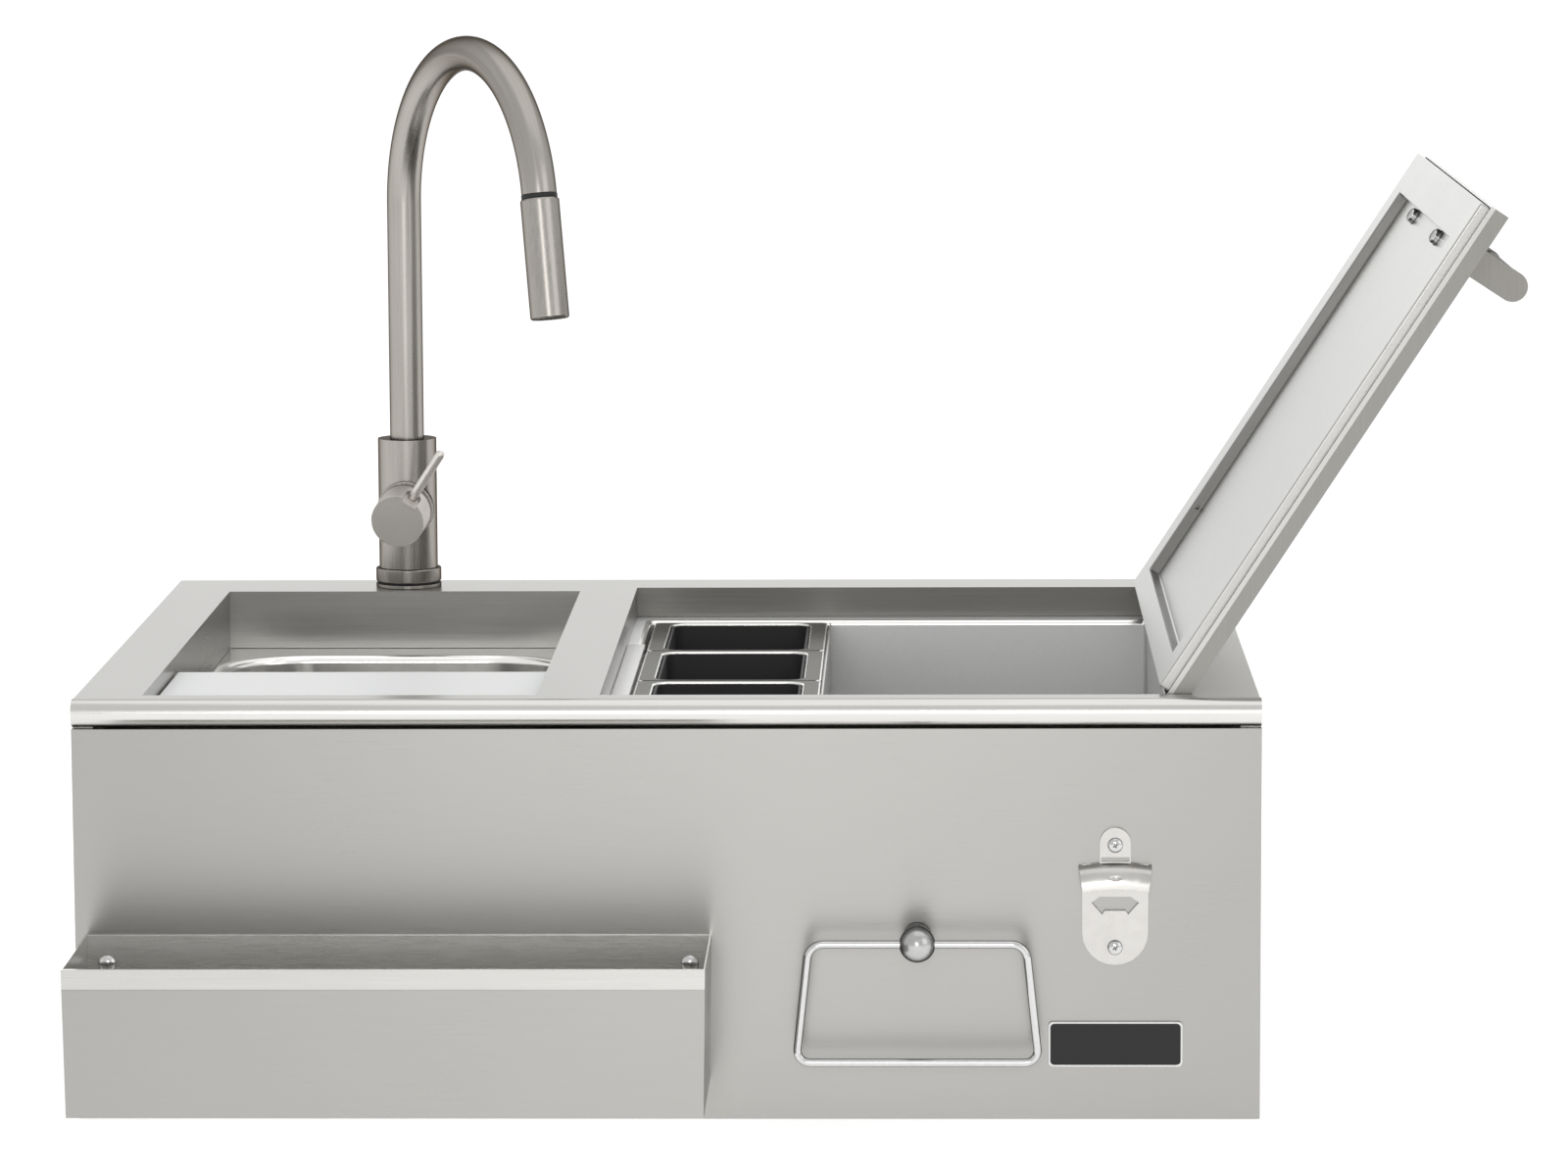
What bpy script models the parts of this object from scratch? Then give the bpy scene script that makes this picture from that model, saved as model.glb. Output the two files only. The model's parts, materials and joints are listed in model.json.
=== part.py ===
# Outdoor refreshment center: a drop-in sink, ice bin and bar front in stainless sheet.
# Metres, +Z up. The origin is the middle of the base panel's underside, +X is the
# user's right and -Y faces the user. The lid is modelled open and the faucet turned aside.

import math

import bmesh
import bpy
from mathutils import Matrix, Vector

# Whole unit
WIDTH = 0.794
DEPTH = 0.603
HEIGHT = 0.285
SHEET = 0.0012
THIN_SHEET = 0.001
GAP = 0.0003
OVERRUN = 0.004

# Deck
NOSE_RADIUS = 0.0095
NOSE_TUCK = 0.012
NOSE_STEPS = 14
SIDE_MARGIN = 0.0455
FRONT_MARGIN = 0.0245
LIP_DROP = 0.0196
LIP_RETURN = 0.014
SEAM_STEP = 0.0002
EDGE_BEND = 0.0015
LIP_BEND = 0.002
SINK_WIDTH_SHARE = 0.40064
SINK_BACK_MARGIN = 0.0653
SINK_WELL = 0.043
BRIDGE_WIDTH = 0.0422
BIN_SIDE_MARGIN = 0.0456
BIN_BACK_MARGIN = 0.0467
BIN_RECESS = 0.0220

# Front apron and casing
NOSE_PROUD = 0.004
APRON_RETURN = 0.024
APRON_FLANGE = 0.010
APRON_BEND = 0.002
SIDE_OVERHANG = 0.019
BACK_OVERHANG = 0.0024
CASE_FLANGE = 0.011
BASE_UPSTAND = 0.012

# Sink bowl and drain
BOWL_SIDE_MARGIN = 0.0055
BOWL_FRONT_MARGIN = 0.012
BOWL_BACK_MARGIN = 0.039
BOWL_CORNER = 0.062
BOWL_FLOOR_HEIGHT = 0.1117
BOWL_DRAFT = 0.006
BOWL_FLOOR_RADIUS = 0.030
BOWL_RIM_RADIUS = 0.006
BOWL_FLANGE_LAP = 0.004
DRAIN_HOLE_RADIUS = 0.0445
STRAINER_FLANGE_RADIUS = 0.056
STRAINER_CUP_RADIUS = 0.0415
STRAINER_CUP_DEPTH = 0.045
STRAINER_WALL = 0.0015
STRAINER_NUT_RADIUS = 0.054
STRAINER_NUT_HEIGHT = 0.012
BASKET_RADIUS = 0.037
BASKET_HEIGHT = 0.030
BASKET_WALL = 0.0012
BASKET_KNOB_RADIUS = 0.006
BASKET_KNOB_HEIGHT = 0.018
TAIL_RADIUS = 0.019
TAIL_WALL = 0.0015
TAIL_FOOT = 0.004
TAIL_LAP = 0.010
TAIL_HOLE_CLEARANCE = 0.004
SLIP_NUT_ACROSS = 0.050
SLIP_NUT_HEIGHT = 0.016

# Cutting board on its two angle rests
BOARD_TOP_DROP = 0.0115
BOARD_THICKNESS = 0.0125
BOARD_LENGTH = 0.181
BOARD_SIDE_GAP = 0.001
BOARD_FRONT_GAP = 0.0015
BOARD_BEVEL = 0.0015
REST_WIDTH = 0.010
REST_HEIGHT = 0.012
REST_LENGTH = 0.150
REST_FRONT_GAP = 0.012

# Ice bin
LEDGE_SIDE = 0.0115
LEDGE_END = 0.020
LINER_FLOOR = 0.030
LINER_CORNER = 0.004
LINER_RIM_RADIUS = 0.004
LINER_FLOOR_RADIUS = 0.012
LINER_LAP = 0.004
FOAM_WALL = 0.013
FOAM_FLOOR = 0.020
BIN_DRAIN_RADIUS = 0.012
BIN_DRAIN_FLANGE = 0.020
BIN_DRAIN_WALL = 0.0015
BIN_DRAIN_FOOT = 0.003
BIN_DRAIN_CLEARANCE = 0.0015
BIN_DRAIN_SETBACK = 0.060

# Condiment pans, their rail and the bin divider
PAN_LEFT = 0.0027
PAN_WIDTH_SHARE = 0.34960
PAN_SPACE = 0.001
PAN_BACK_GAP = 0.002
PAN_FRONT_GAP = 0.0534
PAN_DROP = 0.0237
PAN_DEPTH = 0.100
PAN_SIDE_FLANGE = 0.013
PAN_END_FLANGE = 0.005
PAN_CORNER = 0.012
PAN_EDGE_DROP = 0.004
PAN_DRAFT = 0.003
PAN_FLOOR_RADIUS = 0.008
PAN_RIM_RADIUS = 0.0015
PAN_COUNT = 3
INSERT_WALL = 0.002
INSERT_GAP = 0.0006
INSERT_DROP = 0.0012
RAIL_SHELF = 0.008
RAIL_LAP = 0.0140
DIVIDER_FOOT = 0.015
DIVIDER_SHELF = 0.009
DIVIDER_GAP = 0.0012
DIVIDER_END_GAP = 0.0006

# Lid, in its closed place
LID_GAP = 0.0025
LID_HEIGHT = 0.0204
LID_SKIRT = 0.0135
LID_OPEN_DEG = 123.2
LID_PIVOT_INSET = 0.0047
LID_PIVOT_DROP = 0.0037
LID_LINER_INSET = 0.004
LID_HINGE_BORDER = 0.023
LID_FREE_BORDER = 0.033
LID_SIDE_BORDER = 0.050
LID_RECESS = 0.008
LID_BEND = 0.0012
HINGE_PIN_RADIUS = 0.002
HINGE_PIN_LAP = 0.003
HANDLE_INSET = 0.0396
HANDLE_SPACING = 0.196
HANDLE_POST_WIDTH = 0.021
HANDLE_POST_THICKNESS = 0.005
HANDLE_RISE = 0.0485
HANDLE_TUBE_RADIUS = 0.0095
HANDLE_TUBE_LAP = 0.002
HANDLE_NUT_RADIUS = 0.006
HANDLE_NUT_HEIGHT = 0.006
HANDLE_STUD_RADIUS = 0.0025
HANDLE_STUD_LAP = 0.010

# Faucet
FAUCET_OFFSET = 0.00045
FAUCET_BACK_MARGIN = 0.0327
FAUCET_HOLE_RADIUS = 0.0145
PLATE_RADIUS = 0.0247
PLATE_HEIGHT = 0.0025
GASKET_RADIUS = 0.0236
GASKET_HEIGHT = 0.001
BASE_RING_HEIGHT = 0.0102
BASE_RING_BEVEL = 0.0008
BODY_RADIUS = 0.0221
BODY_HEIGHT = 0.098
BODY_BORE = 0.0131
SPOUT_RADIUS = 0.0128
SPOUT_WALL = 0.0013
SPOUT_LAP = 0.018
SPOUT_STRAIGHT = 0.2908
SPOUT_BEND = 0.1168
SPOUT_AZIMUTH_DEG = 60.3
SPOUT_SPLAY_DEG = 10.1
SPOUT_STEPS = 18
COLLAR_RADIUS = 0.0213
COLLAR_BORE = 0.0152
COLLAR_REACH = 0.0258
VALVE_HEIGHT = 0.061
VALVE_PIVOT = 0.031
DOME_RADIUS = 0.0160
STEM_BACK = 0.0145
CAP_RADIUS = 0.0200
CAP_LENGTH = 0.0255
CAP_CAVITY = 0.0165
CAP_BEVEL = 0.0008
CAP_TILT_DEG = 14.0
CAP_TURN_DEG = 33.0
CAP_SLOT_WIDTH = 0.012
CAP_SLOT_DEPTH = 0.0035
CAP_SLOT_BACK = 0.006
LEVER_RADIUS = 0.0035
LEVER_PLACE = 0.0115
LEVER_ROOT = 0.0168
LEVER_TIP = 0.0617
HEAD_RADIUS = 0.0141
HEAD_GAP = 0.0035
HEAD_LENGTH = 0.0869
HEAD_BEVEL = 0.0010
HEAD_SOCKET_DEPTH = 0.022
HEAD_MOUTH_RADIUS = 0.0112
HEAD_MOUTH_DEPTH = 0.004
NOZZLE_HEIGHT = 0.003
DOCK_RING_RADIUS = 0.0131
DOCK_RING_BORE = 0.009
HOSE_RADIUS = 0.0055
HOSE_INSIDE_SPOUT = 0.020
HOSE_INSIDE_HEAD = 0.012
SHANK_RADIUS = 0.0128
SHANK_BORE = 0.0098
SHANK_LENGTH = 0.045
SHANK_LAP = 0.008
DECK_NUT_ACROSS = 0.036
DECK_NUT_HEIGHT = 0.008
WASHER_RADIUS = 0.0205
WASHER_HEIGHT = 0.002

# Speed rail
RAIL_SIDE_INSET = 0.007
RAIL_WIDTH_SHARE = 0.52897
RAIL_REACH = 0.115
RAIL_TOP_DROP = 0.1592
RAIL_HEIGHT = 0.0988
RAIL_TAPER = 0.0015
RAIL_HEM = 0.013
RAIL_BEND = 0.002
RAIL_BOLT_INSET = 0.0145
RAIL_BOLT_DROP = 0.0193
BOLT_HEAD_RADIUS = 0.0060
BOLT_HEAD_HEIGHT = 0.0040
BOLT_SHANK_RADIUS = 0.003
BOLT_SHANK_LENGTH = 0.006

# Towel ring
RING_SIDE_SHARE = 0.28879
RING_DROP = 0.1596
BALL_RADIUS = 0.012
BALL_REACH = 0.032
POST_STEM_RADIUS = 0.0055
POST_FOOT_RADIUS = 0.009
POST_FOOT_HEIGHT = 0.003
WIRE_RADIUS = 0.0027
WIRE_CLEARANCE = 0.0005
RING_TOP_WIDTH = 0.1442
RING_BOTTOM_WIDTH = 0.1615
RING_FALL = 0.080
RING_CORNER = 0.009
RING_CORNER_STEPS = 6

# Bottle opener
OPENER_SIDE_MARGIN = 0.0973
OPENER_TOP_DROP = 0.0865
OPENER_HEIGHT = 0.0929
OPENER_TAB_WIDTH = 0.0206
OPENER_BODY_WIDTH = 0.0440
OPENER_SHOULDER_DROP = 0.0245
OPENER_PLATE = 0.002
OPENER_SLOT_WIDTH = 0.0316
OPENER_SLOT_DROP = 0.0466
OPENER_SLOT_HEIGHT = 0.0121
OPENER_SLOT_SHOULDER = 0.0040
OPENER_SLOT_SLANT = 0.0055
OPENER_SLOT_FOOT = 0.0174
OPENER_TOOTH = 0.0026
OPENER_TOOTH_WIDTH = 0.0140
OPENER_WINDOW_WIDTH = 0.0188
OPENER_WINDOW_DROP = 0.0198
OPENER_WINDOW_HEIGHT = 0.0032
OPENER_HOOD_DROP = 0.0255
OPENER_HOOD_HEIGHT = 0.0140
OPENER_HOOD_REACH = 0.0105
OPENER_HOOD_ARCH = 0.0020
OPENER_HOOD_TOP_WIDTH = 0.0488
OPENER_HOOD_FOOT_WIDTH = 0.0440
OPENER_HOOD_STEPS = 8
OPENER_UPPER_SCREW_DROP = 0.0117
OPENER_LOWER_SCREW_DROP = 0.0810
SCREW_HEAD_RADIUS = 0.0050
SCREW_HEAD_HEIGHT = 0.0028
SCREW_SHANK_RADIUS = 0.002
SCREW_SHANK_LENGTH = 0.007
HOLE_CLEARANCE = 0.0005

# Blank name plate
BADGE_SIDE_MARGIN = 0.0968
BADGE_DROP = 0.2336
BADGE_WIDTH = 0.0897
BADGE_HEIGHT = 0.0307
BADGE_THICKNESS = 0.0015
BADGE_CORNER = 0.003

# Round pieces
FINE_SIDES = 32
SIDES = 24
FEW_SIDES = 16
WIRE_SIDES = 8
ARC_STEPS = 6

# Places worked out from the sizes above
LEFT = -WIDTH / 2
RIGHT = WIDTH / 2
FRONT = -DEPTH / 2
BACK = DEPTH / 2
SINK_X0 = LEFT + SIDE_MARGIN
CLEAR_WIDTH = WIDTH - SIDE_MARGIN - BRIDGE_WIDTH - BIN_SIDE_MARGIN
SINK_X1 = SINK_X0 + CLEAR_WIDTH * SINK_WIDTH_SHARE
BIN_X0 = SINK_X1 + BRIDGE_WIDTH
BIN_X1 = RIGHT - BIN_SIDE_MARGIN
OPEN_Y0 = FRONT + FRONT_MARGIN
SINK_Y1 = BACK - SINK_BACK_MARGIN
BIN_Y1 = BACK - BIN_BACK_MARGIN
APRON_Y = FRONT + NOSE_PROUD
APRON_TOP = HEIGHT - LIP_DROP - GAP
CASE_X = WIDTH / 2 - SIDE_OVERHANG
CASE_FRONT = APRON_Y + APRON_RETURN + GAP
CASE_BACK = BACK - BACK_OVERHANG
CASE_TOP = HEIGHT - SHEET - GAP
LINER_X0 = BIN_X0 + LEDGE_SIDE
LINER_X1 = BIN_X1 - LEDGE_SIDE
LINER_Y0 = OPEN_Y0 + LEDGE_END
LINER_Y1 = BIN_Y1 - LEDGE_END
LEDGE_TOP = HEIGHT - BIN_RECESS - GAP
PAN_PITCH = (LINER_Y1 - LINER_Y0 - PAN_BACK_GAP - PAN_FRONT_GAP + PAN_SPACE) / PAN_COUNT
PAN_LENGTH = PAN_PITCH - PAN_SPACE
PAN_WIDTH = (LINER_X1 - LINER_X0) * PAN_WIDTH_SHARE
LID_PIVOT = Vector((BIN_X1 - LID_GAP - LID_PIVOT_INSET, 0, HEIGHT - LID_PIVOT_DROP))
FAUCET = Vector(((SINK_X0 + SINK_X1) / 2 + FAUCET_OFFSET, BACK - FAUCET_BACK_MARGIN, HEIGHT))
RAIL_LEFT = LEFT + RAIL_SIDE_INSET
RAIL_WIDTH = WIDTH * RAIL_WIDTH_SHARE
RING_X = RIGHT - WIDTH * RING_SIDE_SHARE
OPENER_X = RIGHT - OPENER_SIDE_MARGIN
BADGE_X = RIGHT - BADGE_SIDE_MARGIN
BODY_BASE = PLATE_HEIGHT + GASKET_HEIGHT + BASE_RING_HEIGHT + 4 * GAP


def material(name, colour, roughness, metallic):
    made = bpy.data.materials.new(name)
    made.use_nodes = True
    shader = made.node_tree.nodes["Principled BSDF"]
    shader.inputs["Base Color"].default_value = (*colour, 1)
    shader.inputs["Roughness"].default_value = roughness
    shader.inputs["Metallic"].default_value = metallic
    made.diffuse_color = (*colour, 1)
    return made


def finish(name, shape, look, parent=None):
    """Close a bmesh into a named object, its faces pointing out."""
    bmesh.ops.recalc_face_normals(shape, faces=shape.faces)
    mesh = bpy.data.meshes.new(name)
    shape.to_mesh(mesh)
    shape.free()
    mesh.shade_smooth()
    mesh.set_sharp_from_angle(angle=math.radians(30))
    mesh.materials.append(look)
    made = bpy.data.objects.new(name, mesh)
    bpy.context.scene.collection.objects.link(made)
    made.parent = parent
    return made


def empty(name, place, turn=None, parent=None):
    """A pivot that the moving pieces hang on."""
    made = bpy.data.objects.new(name, None)
    made.matrix_local = Matrix.Translation(place) @ (turn or Matrix.Identity(4))
    bpy.context.scene.collection.objects.link(made)
    made.parent = parent
    return made


def combine(target, tool_shape, operation):
    """Cut a bmesh out of an object, or join it on, in the object's own space."""
    bmesh.ops.recalc_face_normals(tool_shape, faces=tool_shape.faces)
    mesh = bpy.data.meshes.new("tool")
    tool_shape.to_mesh(mesh)
    tool_shape.free()
    tool = bpy.data.objects.new("tool", mesh)
    bpy.context.scene.collection.objects.link(tool)
    bpy.context.view_layer.update()
    tool.matrix_world = target.matrix_world
    step = target.modifiers.new("combine", "BOOLEAN")
    step.operation = operation
    step.object = tool
    bpy.context.view_layer.update()
    graph = bpy.context.evaluated_depsgraph_get()
    result = bpy.data.meshes.new_from_object(target.evaluated_get(graph))
    target.modifiers.remove(step)
    target.data = result
    bpy.data.objects.remove(tool)
    result.shade_smooth()
    result.set_sharp_from_angle(angle=math.radians(30))


def cells(xs, ys, zs, filled):
    """The skin of all grid cells that filled() accepts, for folded sheet with square holes."""
    xs, ys, zs = (sorted(set(values)) for values in (xs, ys, zs))
    counts = (len(xs) - 1, len(ys) - 1, len(zs) - 1)
    solid = set()
    for i in range(counts[0]):
        for j in range(counts[1]):
            for k in range(counts[2]):
                middle = [(v[n] + v[n + 1]) / 2 for v, n in ((xs, i), (ys, j), (zs, k))]
                if filled(*middle):
                    solid.add((i, j, k))
    shape = bmesh.new()
    corners = {}

    def corner(i, j, k):
        if (i, j, k) not in corners:
            corners[i, j, k] = shape.verts.new((xs[i], ys[j], zs[k]))
        return corners[i, j, k]

    sides = {
        (1, 0, 0): ((1, 0, 0), (1, 1, 0), (1, 1, 1), (1, 0, 1)),
        (-1, 0, 0): ((0, 0, 0), (0, 0, 1), (0, 1, 1), (0, 1, 0)),
        (0, 1, 0): ((0, 1, 0), (0, 1, 1), (1, 1, 1), (1, 1, 0)),
        (0, -1, 0): ((0, 0, 0), (1, 0, 0), (1, 0, 1), (0, 0, 1)),
        (0, 0, 1): ((0, 0, 1), (1, 0, 1), (1, 1, 1), (0, 1, 1)),
        (0, 0, -1): ((0, 0, 0), (0, 1, 0), (1, 1, 0), (1, 0, 0)),
    }
    for i, j, k in sorted(solid):
        for (di, dj, dk), square in sides.items():
            if (i + di, j + dj, k + dk) not in solid:
                shape.faces.new([corner(i + a, j + b, k + c) for a, b, c in square])
    return shape


def block(low, high):
    return cells(*zip(low, high), lambda x, y, z: True)


def bend(shape, radius, chosen, steps=2):
    """Round the edges that chosen(end, end) picks, as a press brake would."""
    picked = [edge for edge in shape.edges
              if not all_flat(edge) and chosen(edge.verts[0].co, edge.verts[1].co)]
    bmesh.ops.bevel(shape, geom=picked, offset=radius, segments=steps, profile=0.5,
                    affect="EDGES", clamp_overlap=True)
    return shape


def all_flat(edge):
    return len(edge.link_faces) == 2 and edge.calc_face_angle(0) < math.radians(5)


def skin(rings, closed=False):
    """Bridge rings of equal count. Open chains get a flat cap on each end."""
    shape = bmesh.new()
    loops = [[shape.verts.new(point) for point in ring] for ring in rings]
    count = len(loops[0])
    pairs = list(zip(loops, loops[1:]))
    if closed:
        pairs.append((loops[-1], loops[0]))
    for lower, upper in pairs:
        for n in range(count):
            m = (n + 1) % count
            shape.faces.new((lower[n], lower[m], upper[m], upper[n]))
    if not closed:
        shape.faces.new(loops[0])
        shape.faces.new(loops[-1])
    return shape


def circle(radius, height, sides):
    turns = [2 * math.pi * (n + 0.5) / sides for n in range(sides)]
    return [Vector((radius * math.cos(a), radius * math.sin(a), height)) for a in turns]


def rounded(centre, half_x, half_y, radius, height, steps=ARC_STEPS):
    """A ring round a rectangle with arcs at its corners."""
    ring = []
    for quarter in range(4):
        sx = (1, -1, -1, 1)[quarter]
        sy = (1, 1, -1, -1)[quarter]
        middle = Vector((centre[0] + sx * (half_x - radius), centre[1] + sy * (half_y - radius), height))
        for n in range(steps + 1):
            angle = math.pi / 2 * (quarter + n / steps)
            ring.append(middle + Vector((radius * math.cos(angle), radius * math.sin(angle), 0)))
    return ring


def ring_about(centre, radius, height, steps=ARC_STEPS):
    """A circle with as many points as rounded() gives, in the same order."""
    count = 4 * (steps + 1)
    turns = [2 * math.pi * (n + 0.5) / count for n in range(count)]
    return [Vector((centre[0] + radius * math.cos(a), centre[1] + radius * math.sin(a), height))
            for a in turns]


def turned(profile, sides=SIDES):
    """Spin (radius, height) points about Z. An end at radius zero closes to a point,
    and a profile with no such end is closed into a ring."""
    points = [p for p in profile if p[0] > 0]
    closed = len(points) == len(profile)
    shape = skin([circle(r, h, sides) for r, h in points], closed)
    if closed:
        return shape
    for r, h, start in ((*profile[0], points[0][1]), (*profile[-1], points[-1][1])):
        if r > 0:
            continue
        caps = [f for f in shape.faces if len(f.verts) == sides and level(f)]
        near = min(caps, key=lambda f: abs(f.verts[0].co.z - start))
        if abs(near.verts[0].co.z - h) > GAP / 1000:
            tip = bmesh.ops.poke(shape, faces=[near])["verts"][0]
            tip.co.z = h
    return shape


def level(face):
    heights = [vert.co.z for vert in face.verts]
    return max(heights) - min(heights) < GAP / 1000


def along(shape, place, axis):
    """Move a shape made about Z so that it runs from place along axis."""
    turn = Vector((0, 0, 1)).rotation_difference(Vector(axis)).to_matrix().to_4x4()
    bmesh.ops.transform(shape, matrix=Matrix.Translation(place) @ turn, verts=shape.verts)
    return shape


def rod(radius, start, axis, length, sides=SIDES):
    return along(turned([(0, 0), (radius, 0), (radius, length), (0, length)], sides), start, axis)


def hex_nut(name, across, height, bore, place, look):
    """A six-sided nut that stands on place."""
    made = finish(name, rod(across / 2 / math.cos(math.pi / 6), place, (0, 0, 1), height, 6), look)
    hole = rod(bore, place - Vector((0, 0, OVERRUN)), (0, 0, 1), height + 2 * OVERRUN)
    combine(made, hole, "DIFFERENCE")
    return made


def prism(outline, place, across, up, depth):
    """Extrude an outline drawn in the across and up directions through a depth."""
    across, up = Vector(across), Vector(up)
    out = across.cross(up)
    rings = [[place + across * a + up * b + out * d for a, b in outline] for d in (0, depth)]
    return skin(rings)


def tube_rings(points, radius, sides):
    """Rings square to a path that lies in one plane."""
    points = [Vector(p) for p in points]
    normal = None
    for a, b, c in zip(points, points[1:], points[2:]):
        cross = (b - a).cross(c - b)
        if cross.length > 0:
            normal = cross.normalized() if normal is None or cross.dot(normal) > 0 else normal
    rings = []
    last = len(points) - 1
    for n, point in enumerate(points):
        ahead = points[min(n + 1, last)] - points[max(n - 1, 0)]
        if n == last:
            ahead = 3 * (point - points[n - 1]) - (points[n - 1] - points[n - 2])
        side = normal.cross(ahead.normalized())
        turns = [2 * math.pi * k / sides for k in range(sides)]
        rings.append([point + radius * (math.cos(a) * side + math.sin(a) * normal) for a in turns])
    return rings


def basin(hole, corner, rim_radius, top, floor, floor_radius, draft, drain_radius, drain, flange,
          wall, edge_drop=0, steps=ARC_STEPS, bends=3):
    """A drawn tub: hole and flange are (x0, y0, x1, y1), drain is its hole's centre or None."""
    middle = ((hole[0] + hole[2]) / 2, (hole[1] + hole[3]) / 2)
    half = ((hole[2] - hole[0]) / 2, (hole[3] - hole[1]) / 2)
    flange_middle = ((flange[0] + flange[2]) / 2, (flange[1] + flange[3]) / 2)
    flange_half = ((flange[2] - flange[0]) / 2, (flange[3] - flange[1]) / 2)

    def tub_ring(inset, height):
        return rounded(middle, half[0] - inset, half[1] - inset, max(corner - inset, wall), height, steps)

    def flange_ring(inset, height):
        return rounded(flange_middle, flange_half[0] - inset, flange_half[1] - inset,
                       max(rim_radius, edge_drop) - inset * (edge_drop > 0), height, steps)

    quarter = [math.pi / 2 * n / bends for n in range(bends + 1)]
    inside = []
    for a in quarter:
        inset = draft + floor_radius * (1 - math.sin(a))
        inside.append(tub_ring(inset, floor + floor_radius * (1 - math.cos(a))))
    for a in quarter:
        inside.append(tub_ring(-rim_radius * (1 - math.cos(a)), top - rim_radius * (1 - math.sin(a))))
    inside.append(flange_ring(0, top))
    outside = []
    if edge_drop:
        outside.append(flange_ring(0, top - edge_drop))
        outside.append(flange_ring(wall, top - edge_drop))
        outside.append(flange_ring(wall, top - wall))
    else:
        outside.append(flange_ring(0, top - wall))
    under_rim = max(rim_radius - wall, wall / 2)
    for a in reversed(quarter):
        outside.append(tub_ring(-wall - under_rim * (1 - math.cos(a)),
                                top - wall - under_rim * (1 - math.sin(a))))
    outer_radius = floor_radius + wall
    for a in reversed(quarter):
        inset = draft - wall + outer_radius * (1 - math.sin(a))
        outside.append(tub_ring(inset, floor - wall + outer_radius * (1 - math.cos(a))))
    if drain:
        hole_rings = [ring_about(drain, drain_radius, level, steps) for level in (floor - wall, floor)]
        return skin(hole_rings + inside + outside, closed=True)
    return skin(inside + outside)


def deck(look):
    nose_y = FRONT + NOSE_RADIUS
    xs = [LEFT, LEFT + SHEET, LEFT + LIP_RETURN, SINK_X0 - SHEET, SINK_X0, SINK_X1, SINK_X1 + SHEET,
          BIN_X0 - SHEET, BIN_X0, BIN_X1, BIN_X1 + SHEET, RIGHT - LIP_RETURN, RIGHT - SHEET, RIGHT]
    ys = [nose_y, OPEN_Y0 - SHEET, OPEN_Y0, SINK_Y1, SINK_Y1 + SHEET, BIN_Y1, BIN_Y1 + SHEET,
          BACK - SHEET, BACK]
    zs = [HEIGHT - SINK_WELL, HEIGHT - BIN_RECESS, HEIGHT - LIP_DROP, HEIGHT - LIP_DROP + SHEET,
          HEIGHT - SHEET, HEIGHT]

    def filled(x, y, z):
        sink = SINK_X0 < x < SINK_X1 and OPEN_Y0 < y < SINK_Y1
        tub = BIN_X0 < x < BIN_X1 and OPEN_Y0 < y < BIN_Y1
        if sink or tub:
            return False
        if z > HEIGHT - SHEET:
            return True
        if (SINK_X0 - SHEET < x < SINK_X1 + SHEET and OPEN_Y0 - SHEET < y < SINK_Y1 + SHEET):
            return True
        if (BIN_X0 - SHEET < x < BIN_X1 + SHEET and OPEN_Y0 - SHEET < y < BIN_Y1 + SHEET):
            return z > HEIGHT - BIN_RECESS
        if z < HEIGHT - LIP_DROP:
            return False
        if x < LEFT + SHEET or x > RIGHT - SHEET or y > BACK - SHEET:
            return True
        return z < HEIGHT - LIP_DROP + SHEET and (x < LEFT + LIP_RETURN or x > RIGHT - LIP_RETURN)

    shape = cells(xs, ys, zs, filled)

    def on_opening(a, b):
        level = min(a.z, b.z) > HEIGHT - SHEET / 2
        inner = all(SINK_X0 - GAP < p.x < BIN_X1 + GAP and OPEN_Y0 - GAP < p.y < BIN_Y1 + GAP
                    for p in (a, b))
        return level and inner

    def on_rim(a, b):
        level = min(a.z, b.z) > HEIGHT - SHEET / 2
        side = abs(a.x - b.x) < GAP and abs(abs(a.x) - RIGHT) < GAP
        return level and (side or min(a.y, b.y) > BACK - GAP)

    bend(shape, EDGE_BEND, on_opening)
    bend(shape, LIP_BEND, on_rim)
    made = finish("deck_top", shape, look)
    combine(made, nose_sheet(nose_y), "UNION")
    for side in (LEFT, RIGHT - SHEET):
        combine(made, nose_end(side, nose_y), "UNION")
    hole = rod(FAUCET_HOLE_RADIUS, FAUCET - Vector((0, 0, SHEET + OVERRUN)), (0, 0, 1), SHEET + 2 * OVERRUN)
    combine(made, hole, "DIFFERENCE")
    for y in (OPEN_Y0 - SHEET - OVERRUN, BIN_Y1 - OVERRUN):
        start = Vector((LID_PIVOT.x, y, LID_PIVOT.z))
        cut = rod(HINGE_PIN_RADIUS + GAP, start, (0, 1, 0), SHEET + 2 * OVERRUN, FEW_SIDES)
        combine(made, cut, "DIFFERENCE")
    return made


def nose_arc(radius, dip):
    """Points round the half-round front, from a tongue inside the deck's sheet to the tuck below."""
    turns = [math.pi / 2 + math.pi * n / NOSE_STEPS for n in range(NOSE_STEPS + 1)]
    arc = [(radius * math.cos(a), radius * math.sin(a)) for a in turns]
    return [(OVERRUN / 2, radius - dip)] + arc + [(NOSE_TUCK, -radius)]


def nose_sheet(nose_y):
    outer = nose_arc(NOSE_RADIUS, SEAM_STEP)
    inner = nose_arc(NOSE_RADIUS - SHEET, -SEAM_STEP)
    outline = outer + inner[::-1]
    place = Vector((LEFT + SEAM_STEP, nose_y, HEIGHT - NOSE_RADIUS))
    return prism(outline, place, (0, 1, 0), (0, 0, 1), WIDTH - 2 * SEAM_STEP)


def nose_end(x, nose_y):
    """The flat end of the half-round front, in line with the side lip."""
    outline = nose_arc(NOSE_RADIUS - SHEET / 2, 0)
    place = Vector((x + 2 * SEAM_STEP, nose_y, HEIGHT - NOSE_RADIUS))
    return prism(outline, place, (0, 1, 0), (0, 0, 1), SHEET - 4 * SEAM_STEP)


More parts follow.
